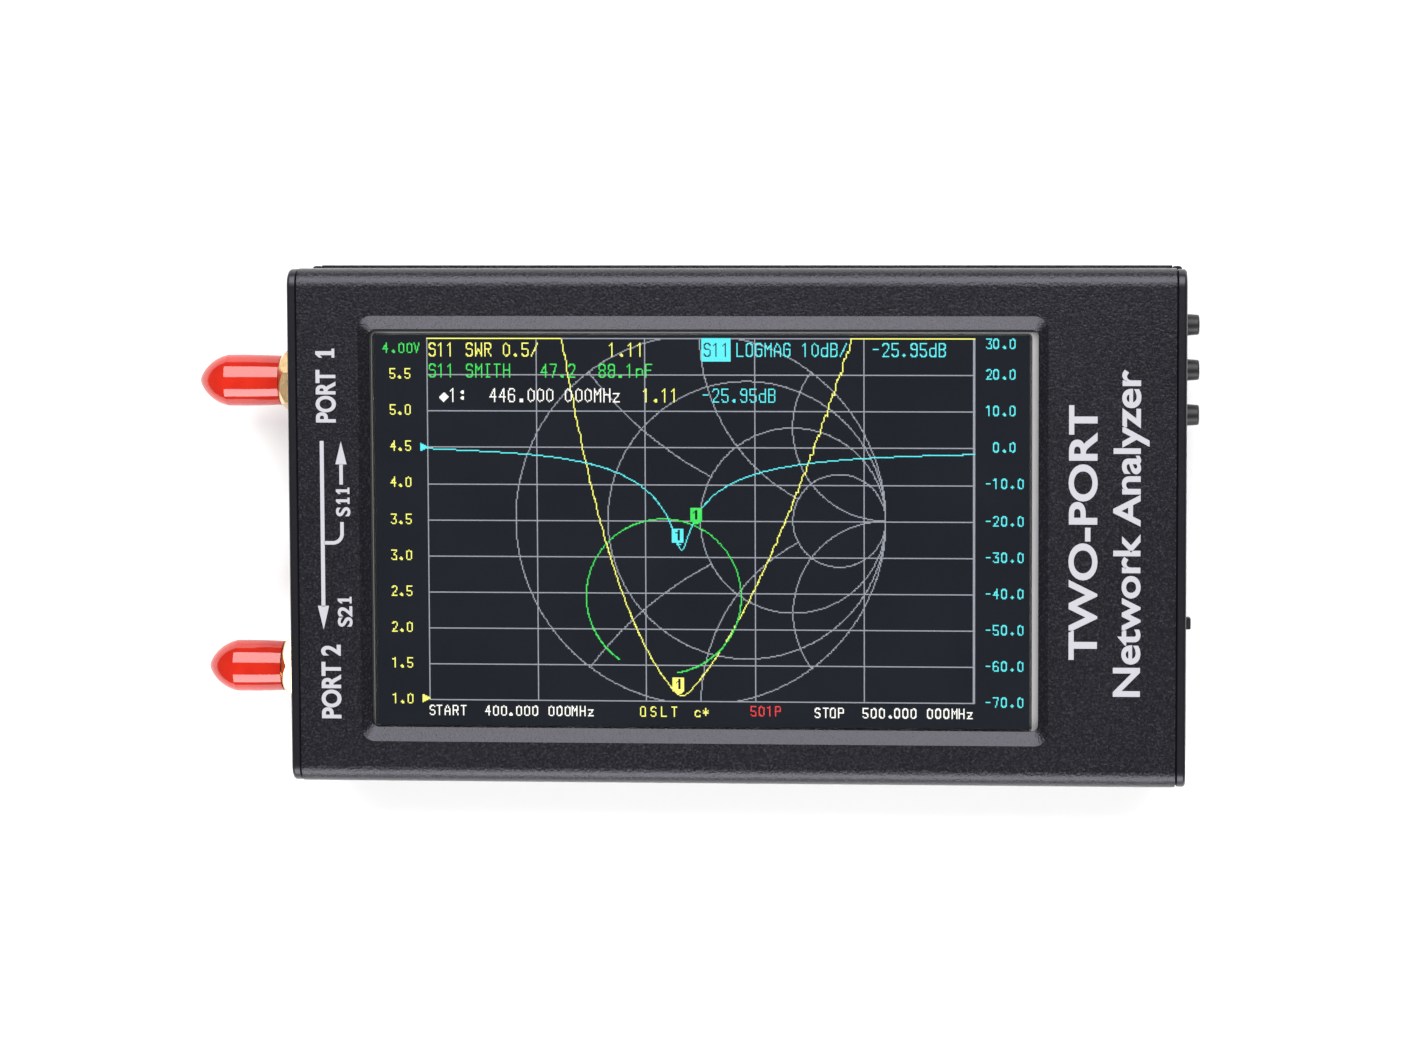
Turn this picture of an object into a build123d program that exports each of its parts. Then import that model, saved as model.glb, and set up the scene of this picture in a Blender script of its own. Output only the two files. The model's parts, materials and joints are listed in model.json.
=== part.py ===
from build123d import *
import math
import os

os.makedirs("parts", exist_ok=True)

# A handheld two-port vector network analyzer, lying on its back.
# X runs from the test ports (-X) to the keys (+X), Y runs across the case and Z out of the screen.
# The origin is the middle of the case's back face. All sizes are in millimetres.

# Case: two extruded half shells closed by an end plate at each end.
case_length = 130.0
case_width = 75.0
case_depth = 22.0
plate_thickness = 1.5
plate_inset = 0.1
plate_edge_radius = 0.5
plate_back_chamfer = 0.3
face_thickness = 1.6
back_thickness = 2.0
lip_wall = 2.8
channel_depth = 0.8
channel_front = 3.6
channel_back = 4.0
long_edge_radius = 2.5
seam_height = 12.4
tongue_height = 0.9
tongue_width = 0.9
seam_clearance = 0.1

# Screws: one in each corner of each end plate, cutting their threads in round channels of the shells.
screw_radius = 1.0
screw_length = 7.0
screw_clearance = 0.15
screw_head_radius = 1.9
screw_head_height = 0.9
screw_socket_radius = 0.75
screw_socket_depth = 0.6
boss_radius = 1.9
boss_inset_y = 4.5
boss_inset_z = 4.6
boss_bore_clearance = 0.05

# Screen opening in the front face, with a bevel around it.
opening_shift_x = 0.3
opening_shift_y = 0.4
opening_play_x = 1.3
opening_play_y = 0.5
opening_corner = 1.0
bevel_long_side = 1.95
bevel_short_side = 1.4
bevel_depth = 1.0
bevel_corner = 2.0

# Display: glass, liquid-crystal panel and light guide in a plastic frame on a steel tray.
screen_x = -5.0
screen_y = -0.7
glass_length = 95.7
glass_width = 57.6
glass_thickness = 0.9
glass_corner = 0.6
panel_thickness = 1.2
guide_thickness = 0.9
panel_inset = 0.3
frame_border_x = 3.15
frame_border_y = 1.5
frame_corner = 1.2
frame_clearance = 0.05
tray_thickness = 0.6
gasket_thickness = 0.4
gasket_overlap_top = 0.4
gasket_overlap_left = 0.15
gasket_open_right = 1.2
gasket_corner = 0.8

# Main circuit board, held by its long edges in grooves of the back shell.
board_thickness = 1.6
board_groove = 0.8
board_side_clearance = 0.2
board_groove_clearance = 0.05
board_end_gap = 1.9
board_corner = 1.0

# Test ports: SMA jacks through the left end plate.
port_axis_z = 11.0
port_pitch = 42.6
port_y = -0.6
thread_radius = 3.175
thread_length = 11.0
port_hole_clearance = 0.15
port_flange_thickness = 1.6
port_leg = 1.0
port_leg_length = 4.5
port_leg_spread = 2.6
dielectric_radius = 2.05
dielectric_setback = 1.9
port_mouth_radius = 2.35
port_mouth_chamfer = 0.3
contact_radius = 0.635
contact_bore_radius = 0.47
contact_bore_depth = 3.0
contact_slot = 0.2
contact_slot_reach = 1.5
contact_tail_radius = 0.4
contact_tail_length = 2.4
washer_band = 1.125
washer_thickness = 0.7
nut_wall = 0.825
nut_thickness = 2.3
nut_face_band = 0.525
nut_clearance = 0.03
# How far each nut's corners are turned from the case's width when it is tight, in degrees.
nut_turns = (12.5, 23.4)

# Soft dust caps pushed over the threads. The second is a little shorter.
cap_mouth_wall = 0.435
cap_swell = 0.18
cap_lengths = (12.2, 11.25)
cap_setbacks = (3.1, 3.2)
cap_nose = 4.2
cap_nose_flat = 0.5
cap_nose_round = 0.45
cap_nose_fullness = 0.75
cap_barrel_fullness = 0.14
cap_fit = 0.05
cap_end_gap = 0.2
cap_bore_round = 0.4

# Controls in the right end plate.
control_z = 12.4
key_top_y = 29.1
key_pitch = 6.57
key_count = 3
key_radius = 1.6
key_taper = 0.15
key_reach = 2.1
key_tip_round = 0.3
key_stem_radius = 1.2
key_guide_clearance = 0.06
key_hole_clearance = 0.17
key_flange_radius = 1.5
key_flange_thickness = 0.6
key_travel = 0.25
key_body_width = 6.0
key_body_height = 3.6
key_body_depth = 2.9
key_cover_thickness = 0.6
key_cavity_radius = 1.55
key_cavity_depth = 1.9
key_nub_radius = 0.6
key_nub_length = 0.3
dome_thickness = 0.15
dome_radius = 1.45
control_gap = 0.5

slider_y = -14.55
slider_width = 1.68
slider_height = 1.6
slider_reach = 1.05
slider_travel = 2.0
slider_clearance = 0.2
slider_body_length = 8.6
slider_body_depth = 3.7
slider_body_height = 3.6
slider_cavity_depth = 2.0
slider_shoe_length = 3.4
slider_shoe_height = 2.4
slider_shoe_thickness = 0.8
slider_cover_thickness = 0.6
slider_grip_round = 0.25

usb_y = 0.0
usb_length = 7.35
usb_width = 8.94
usb_height = 3.26
usb_wall = 0.3
usb_recess = 0.1
usb_hole_clearance = 0.15
usb_tongue_width = 6.69
usb_tongue_thickness = 0.7
usb_tongue_setback = 0.9
usb_back_thickness = 2.4

led_y = 7.6
led_size = 1.6
pipe_radius = 0.75
pipe_clearance = 0.05

# Battery pack under the board.
battery_length = 88.0
battery_width = 60.0
battery_height = 5.2
battery_x = -8.0
battery_round = 1.6
tape_thickness = 0.2
tape_margin = 9.0
guard_length = 3.2
guard_width = 50.0
guard_thickness = 1.4
guard_z = 5.4
lead_radius = 0.65
lead_pitch = 2.0
lead_start_y = 12.0
lead_run = 3.6
lead_turn = 45.0
lead_arc_share = 0.45
plug_length = 5.0
plug_width = 5.6
plug_height = 3.2
plug_overlap = 2.0
plug_chamfer = 0.3
socket_length = 7.0
socket_wall = 0.8
socket_clearance = 0.05

# Circuit parts on the board.
can_length = 34.0
can_width = 24.0
can_height = 3.0
can_sheet = 0.25
can_corner = 0.8
can_x = -39.0
can_hole_radius = 0.5
can_hole_pitch = 4.0
can_hole_columns = 6
can_hole_rows = 4
chip_corner = 0.3
chip_chamfer = 0.12
ribbon_width = 20.0
ribbon_thickness = 0.2
ribbon_bend_y = -25.6
ribbon_start_y = -8.0
ribbon_end_y = -22.9
ribbon_fold_height = 11.7
zif_length = 23.0
zif_width = 4.0
zif_height = 2.0
zif_y = -22.0
zif_slot_clearance = 0.06
foam_size = 5.0
foam_x = 9.5
foam_pitch_x = 57.0
foam_pitch_y = 53.0

# Derived places.
shell_length = case_length - 2 * plate_thickness
opening_x = screen_x + opening_shift_x
opening_y = screen_y + opening_shift_y
opening_length = glass_length + opening_play_x
opening_width = glass_width + opening_play_y
frame_length = glass_length + 2 * frame_border_x
frame_width = glass_width + 2 * frame_border_y
port_flange = 2 * thread_radius
nut_apothem = thread_radius + nut_wall
nut_face_radius = thread_radius + nut_face_band
cap_bore_radius = thread_radius + cap_fit
cap_mouth_radius = cap_bore_radius + cap_mouth_wall
cap_radius = cap_mouth_radius + cap_swell
half_width = case_width / 2
inner_half = half_width - lip_wall
plate_inner_x = shell_length / 2
plate_outer_x = case_length / 2
screw_y = half_width - boss_inset_y
screw_front_z = case_depth - boss_inset_z
screw_back_z = boss_inset_z
screw_points = [(side * screw_y, z) for side in (-1, 1) for z in (screw_back_z, screw_front_z)]
face_inside_z = case_depth - face_thickness
glass_top_z = face_inside_z - gasket_thickness
glass_bottom_z = glass_top_z - glass_thickness
panel_bottom_z = glass_bottom_z - panel_thickness
tray_top_z = panel_bottom_z - guide_thickness
tray_bottom_z = tray_top_z - tray_thickness
board_top_z = port_axis_z - contact_tail_radius
board_bottom_z = board_top_z - board_thickness
board_left_x = port_flange_thickness - plate_inner_x
board_right_x = plate_inner_x - board_end_gap
board_half = inner_half + board_groove - board_side_clearance
port_ys = [port_y + port_pitch / 2, port_y - port_pitch / 2]
port_end_x = -plate_outer_x - thread_length
key_ys = [key_top_y - index * key_pitch for index in range(key_count)]
control_front_x = plate_inner_x - control_gap
slider_body_y = slider_y - slider_travel / 2
battery_bottom_z = back_thickness + tape_thickness
battery_end_x = battery_x + battery_length / 2
lead_start_x = battery_end_x + guard_length
plug_rear_x = lead_start_x + 3 * lead_run
plug_y = lead_start_y - lead_run
lead_z = guard_z + guard_thickness / 2


# ------------------------------------------------------------------ case

with BuildPart() as front_shell:
    with BuildSketch(Plane.YZ.offset(-plate_inner_x)) as front_profile:
        with Locations((0, (seam_height + case_depth) / 2)):
            Rectangle(case_width, case_depth - seam_height)
        fillet(front_profile.vertices().group_by(Axis.Y)[-1], long_edge_radius)
        with Locations((0, seam_height)):
            Rectangle(
                2 * inner_half,
                2 * (face_inside_z - seam_height),
                mode=Mode.SUBTRACT,
            )
        channel_top = case_depth - channel_front
        for side in (-1, 1):
            with Locations((side * (half_width - channel_depth / 2), (seam_height + channel_top) / 2)):
                Rectangle(channel_depth, channel_top - seam_height, mode=Mode.SUBTRACT)
            with Locations((side * (inner_half + tongue_width / 2), seam_height - tongue_height / 2)):
                Rectangle(tongue_width, tongue_height)
            with Locations((side * screw_y, screw_front_z)):
                Circle(boss_radius)
            with Locations((side * (screw_y + inner_half) / 2, screw_front_z)):
                Rectangle(inner_half - screw_y, 2 * boss_radius)
            with Locations((side * screw_y, screw_front_z)):
                Circle(screw_radius + boss_bore_clearance, mode=Mode.SUBTRACT)
    extrude(amount=shell_length)
    with BuildSketch(Plane.XY.offset(case_depth)):
        with Locations((opening_x, opening_y)):
            RectangleRounded(opening_length, opening_width, opening_corner)
    extrude(amount=-face_thickness, mode=Mode.SUBTRACT)
    with BuildSketch(Plane.XY.offset(case_depth)):
        with Locations((opening_x, opening_y)):
            RectangleRounded(
                opening_length + 2 * bevel_short_side,
                opening_width + 2 * bevel_long_side,
                bevel_corner,
            )
    with BuildSketch(Plane.XY.offset(case_depth - bevel_depth)):
        with Locations((opening_x, opening_y)):
            RectangleRounded(opening_length, opening_width, opening_corner)
    loft(mode=Mode.SUBTRACT)
front_shell.part.label = "front_shell"
export_step(front_shell.part, "parts/front_shell.step")

with BuildPart() as back_shell:
    with BuildSketch(Plane.YZ.offset(-plate_inner_x)) as back_profile:
        with Locations((0, seam_height / 2)):
            Rectangle(case_width, seam_height)
        fillet(back_profile.vertices().group_by(Axis.Y)[0], long_edge_radius)
        with Locations((0, seam_height)):
            Rectangle(2 * inner_half, 2 * (seam_height - back_thickness), mode=Mode.SUBTRACT)
        for side in (-1, 1):
            with Locations((side * (half_width - channel_depth / 2), (seam_height + channel_back) / 2)):
                Rectangle(channel_depth, seam_height - channel_back, mode=Mode.SUBTRACT)
            rabbet_width = tongue_width + seam_clearance
            rabbet_height = tongue_height + seam_clearance
            with Locations((side * (inner_half + rabbet_width / 2), seam_height - rabbet_height / 2)):
                Rectangle(rabbet_width, rabbet_height, mode=Mode.SUBTRACT)
            with Locations((side * (inner_half + board_groove / 2), board_bottom_z + board_thickness / 2)):
                Rectangle(board_groove, board_thickness + 2 * board_groove_clearance, mode=Mode.SUBTRACT)
            with Locations((side * screw_y, screw_back_z)):
                Circle(boss_radius)
            with Locations((side * (screw_y + inner_half) / 2, screw_back_z)):
                Rectangle(inner_half - screw_y, 2 * boss_radius)
            with Locations((side * screw_y, screw_back_z)):
                Circle(screw_radius + boss_bore_clearance, mode=Mode.SUBTRACT)
    extrude(amount=shell_length)
back_shell.part.label = "back_shell"
export_step(back_shell.part, "parts/back_shell.step")


def plate_outline():
    """The case's outer section, set in a little: a rounded rectangle with the two side channels."""
    width = case_width - 2 * plate_inset
    depth = case_depth - 2 * plate_inset
    channel_length = case_depth - channel_front - channel_back + 2 * plate_inset
    channel_middle = (case_depth - channel_front + channel_back) / 2
    with BuildSketch(mode=Mode.PRIVATE) as outline_sketch:
        with Locations((0, case_depth / 2)):
            RectangleRounded(width, depth, long_edge_radius - plate_inset)
        for side in (-1, 1):
            with Locations((side * (width - channel_depth) / 2, channel_middle)):
                Rectangle(channel_depth, channel_length, mode=Mode.SUBTRACT)
    return outline_sketch.sketch


with BuildPart() as left_end_plate:
    with BuildSketch(Plane.YZ.offset(-plate_inner_x)):
        add(plate_outline())
    extrude(amount=-plate_thickness)
    fillet(left_end_plate.faces().sort_by(Axis.X)[0].outer_wire().edges(), plate_edge_radius)
    chamfer(left_end_plate.faces().sort_by(Axis.X)[-1].outer_wire().edges(), plate_back_chamfer)
    with BuildSketch(Plane.YZ.offset(-plate_inner_x)):
        with Locations(*[(y, port_axis_z) for y in port_ys]):
            Circle(thread_radius + port_hole_clearance)
        with Locations(*screw_points):
            Circle(screw_radius + screw_clearance)
    extrude(amount=-plate_thickness, mode=Mode.SUBTRACT)
    with BuildSketch(Plane.YZ.offset(-plate_outer_x)):
        with Locations(*screw_points):
            Circle(screw_head_radius)
    extrude(amount=screw_head_height, taper=45, mode=Mode.SUBTRACT)
left_end_plate.part.label = "left_end_plate"
export_step(left_end_plate.part, "parts/left_end_plate.step")

with BuildPart() as right_end_plate:
    with BuildSketch(Plane.YZ.offset(plate_inner_x)):
        add(plate_outline())
    extrude(amount=plate_thickness)
    fillet(right_end_plate.faces().sort_by(Axis.X)[-1].outer_wire().edges(), plate_edge_radius)
    chamfer(right_end_plate.faces().sort_by(Axis.X)[0].outer_wire().edges(), plate_back_chamfer)
    with BuildSketch(Plane.YZ.offset(plate_inner_x)):
        with Locations(*[(y, control_z) for y in key_ys]):
            Circle(key_radius + key_hole_clearance)
        with Locations((slider_body_y, control_z)):
            Rectangle(
                slider_width + slider_travel + 2 * slider_clearance,
                slider_height + 2 * slider_clearance,
            )
        with Locations((usb_y, board_top_z + usb_height / 2)):
            RectangleRounded(
                usb_width + 2 * usb_hole_clearance,
                usb_height + 2 * usb_hole_clearance,
                usb_height / 2,
            )
        with Locations((led_y, control_z)):
            Circle(pipe_radius + pipe_clearance)
        with Locations(*screw_points):
            Circle(screw_radius + screw_clearance)
    extrude(amount=plate_thickness, mode=Mode.SUBTRACT)
    with BuildSketch(Plane.YZ.offset(plate_outer_x)):
        with Locations(*screw_points):
            Circle(screw_head_radius)
    extrude(amount=-screw_head_height, taper=45, mode=Mode.SUBTRACT)
right_end_plate.part.label = "right_end_plate"
export_step(right_end_plate.part, "parts/right_end_plate.step")

for name, outer_x, inward in (
    ("left_plate_screws", -plate_outer_x, 1),
    ("right_plate_screws", plate_outer_x, -1),
):
    with BuildPart() as plate_screws:
        with BuildSketch(Plane.YZ.offset(outer_x)):
            with Locations(*screw_points):
                Circle(screw_head_radius)
        extrude(amount=inward * screw_head_height, taper=45)
        with BuildSketch(Plane.YZ.offset(outer_x + inward * screw_head_height)):
            with Locations(*screw_points):
                Circle(screw_radius)
        extrude(amount=inward * (screw_length - screw_head_height))
        with BuildSketch(Plane.YZ.offset(outer_x)):
            with Locations(*screw_points):
                RegularPolygon(screw_socket_radius, 6)
        extrude(amount=inward * screw_socket_depth, mode=Mode.SUBTRACT)
    plate_screws.part.label = name
    export_step(plate_screws.part, f"parts/{name}.step")


# ------------------------------------------------------------------ display

with BuildPart() as touch_glass:
    with BuildSketch(Plane.XY.offset(glass_bottom_z)):
        with Locations((screen_x, screen_y)):
            RectangleRounded(glass_length, glass_width, glass_corner)
    extrude(amount=glass_thickness)
touch_glass.part.label = "touch_glass"
export_step(touch_glass.part, "parts/touch_glass.step")

with BuildPart() as lcd_panel:
    with BuildSketch(Plane.XY.offset(panel_bottom_z)):
        with Locations((screen_x, screen_y)):
            Rectangle(glass_length - 2 * panel_inset, glass_width - 2 * panel_inset)
    extrude(amount=panel_thickness)
lcd_panel.part.label = "lcd_panel"
export_step(lcd_panel.part, "parts/lcd_panel.step")

with BuildPart() as light_guide:
    with BuildSketch(Plane.XY.offset(tray_top_z)):
        with Locations((screen_x, screen_y)):
            Rectangle(glass_length - 2 * panel_inset, glass_width - 2 * panel_inset)
    extrude(amount=guide_thickness)
light_guide.part.label = "light_guide"
export_step(light_guide.part, "parts/light_guide.step")

with BuildPart() as lcd_frame:
    with BuildSketch(Plane.XY.offset(tray_top_z)):
        with Locations((screen_x, screen_y)):
            RectangleRounded(frame_length, frame_width, frame_corner)
            RectangleRounded(
                glass_length + 2 * frame_clearance,
                glass_width + 2 * frame_clearance,
                glass_corner + frame_clearance,
                mode=Mode.SUBTRACT,
            )
    extrude(amount=glass_top_z - tray_top_z)
lcd_frame.part.label = "lcd_frame"
export_step(lcd_frame.part, "parts/lcd_frame.step")

with BuildPart() as lcd_tray:
    with BuildSketch(Plane.XY.offset(tray_bottom_z)):
        with Locations((screen_x, screen_y)):
            RectangleRounded(frame_length, frame_width, frame_corner)
    extrude(amount=tray_thickness)
lcd_tray.part.label = "lcd_tray"
export_step(lcd_tray.part, "parts/lcd_tray.step")

gasket_window_top = opening_y + opening_width / 2 - gasket_overlap_top
gasket_window_bottom = screen_y - glass_width / 2
gasket_window_left = opening_x - opening_length / 2 + gasket_overlap_left
gasket_window_right = opening_x + opening_length / 2 + gasket_open_right
with BuildPart() as screen_gasket:
    with BuildSketch(Plane.XY.offset(glass_top_z)):
        with Locations((screen_x, screen_y)):
            RectangleRounded(frame_length, frame_width, frame_corner)
        gasket_window_middle = (
            (gasket_window_left + gasket_window_right) / 2,
            (gasket_window_top + gasket_window_bottom) / 2,
        )
        with Locations(gasket_window_middle):
            RectangleRounded(
                gasket_window_right - gasket_window_left,
                gasket_window_top - gasket_window_bottom,
                gasket_corner,
                mode=Mode.SUBTRACT,
            )
    extrude(amount=gasket_thickness)
screen_gasket.part.label = "screen_gasket"
export_step(screen_gasket.part, "parts/screen_gasket.step")


# ------------------------------------------------------------------ main board and what is soldered to it

board_length = board_right_x - board_left_x
with BuildPart() as main_board:
    with BuildSketch(Plane.XY.offset(board_bottom_z)):
        with Locations(((board_left_x + board_right_x) / 2, 0)):
            RectangleRounded(board_length, 2 * board_half, board_corner)
    extrude(amount=board_thickness)
main_board.part.label = "main_board"
export_step(main_board.part, "parts/main_board.step")

for number, y in enumerate(port_ys, start=1):
    with BuildPart() as shield_can:
        with BuildSketch(Plane.XY.offset(board_top_z)):
            with Locations((can_x, y)):
                RectangleRounded(can_length, can_width, can_corner)
        extrude(amount=can_height)
        with BuildSketch(Plane.XY.offset(board_top_z)):
            with Locations((can_x, y)):
                RectangleRounded(
                    can_length - 2 * can_sheet,
                    can_width - 2 * can_sheet,
                    can_corner - can_sheet,
                )
        extrude(amount=can_height - can_sheet, mode=Mode.SUBTRACT)
        with BuildSketch(Plane.XY.offset(board_top_z + can_height)):
            with Locations((can_x, y)):
                with GridLocations(can_hole_pitch, can_hole_pitch, can_hole_columns, can_hole_rows):
                    Circle(can_hole_radius)
        extrude(amount=-can_sheet, mode=Mode.SUBTRACT)
    shield_can.part.label = f"rf_shield_can_{number}"
    export_step(shield_can.part, f"parts/rf_shield_can_{number}.step")

# Chips as (node name, X length, Y width, height, places of their middles on the top of the board).
chip_groups = [
    ("mixer_chips", 4.0, 4.0, 0.9, [(-47.0, port_ys[0]), (-47.0, port_ys[1]), (-31.0, port_ys[0])]),
    ("synthesizer_chips", 5.0, 5.0, 0.9, [(-39.0, port_ys[0] + 6.0), (-39.0, port_ys[1] + 6.0)]),
    ("reference_oscillator", 5.0, 3.2, 1.2, [(-8.0, 12.0)]),
    ("processor_chip", 10.0, 10.0, 1.4, [(14.0, 6.0)]),
    ("memory_chip", 6.0, 5.0, 0.9, [(14.0, -8.0)]),
    ("charge_chip", 4.0, 4.0, 0.9, [(46.0, -4.0)]),
    ("power_inductors", 4.0, 4.0, 2.0, [(40.0, 4.0), (40.0, -12.0)]),
]
for name, length, width, height, places in chip_groups:
    with BuildPart() as chips:
        with BuildSketch(Plane.XY.offset(board_top_z)):
            with Locations(*places):
                RectangleRounded(length, width, chip_corner)
        extrude(amount=height)
        chamfer(chips.faces().group_by(Axis.Z)[-1].edges(), chip_chamfer)
    chips.part.label = name
    export_step(chips.part, f"parts/{name}.step")

with BuildPart() as ribbon_socket:
    with BuildSketch(Plane.XY.offset(board_top_z)):
        with Locations((screen_x, zif_y)):
            Rectangle(zif_length, zif_width)
    extrude(amount=zif_height)
    slot_depth = ribbon_end_y - (zif_y - zif_width / 2)
    with BuildSketch(Plane.XZ.offset(-(zif_y - zif_width / 2))):
        with Locations((screen_x, ribbon_fold_height)):
            Rectangle(
                ribbon_width + 2 * zif_slot_clearance,
                ribbon_thickness + 2 * zif_slot_clearance,
            )
    extrude(amount=-slot_depth, mode=Mode.SUBTRACT)
ribbon_socket.part.label = "ribbon_socket"
export_step(ribbon_socket.part, "parts/ribbon_socket.step")

# The display's flat cable leaves the tray, folds down in a half circle and returns into its socket.
ribbon_top = tray_bottom_z - ribbon_thickness / 2
ribbon_fold_radius = (ribbon_top - ribbon_fold_height) / 2
with BuildPart() as display_ribbon:
    with BuildSketch(Plane.YZ.offset(screen_x - ribbon_width / 2)):
        with BuildLine():
            Line((ribbon_start_y, ribbon_top), (ribbon_bend_y, ribbon_top))
            ThreePointArc(
                (ribbon_bend_y, ribbon_top),
                (ribbon_bend_y - ribbon_fold_radius, ribbon_top - ribbon_fold_radius),
                (ribbon_bend_y, ribbon_fold_height),
            )
            Line((ribbon_bend_y, ribbon_fold_height), (ribbon_end_y, ribbon_fold_height))
        trace(line_width=ribbon_thickness)
    extrude(amount=ribbon_width)
display_ribbon.part.label = "display_ribbon"
export_step(display_ribbon.part, "parts/display_ribbon.step")

with BuildPart() as display_pads:
    with BuildSketch(Plane.XY.offset(board_top_z)):
        with Locations((foam_x, 0)):
            with GridLocations(foam_pitch_x, foam_pitch_y, 2, 2):
                Rectangle(foam_size, foam_size)
    extrude(amount=tray_bottom_z - board_top_z)
display_pads.part.label = "display_pads"
export_step(display_pads.part, "parts/display_pads.step")


# ------------------------------------------------------------------ test ports and their dust caps

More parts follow.
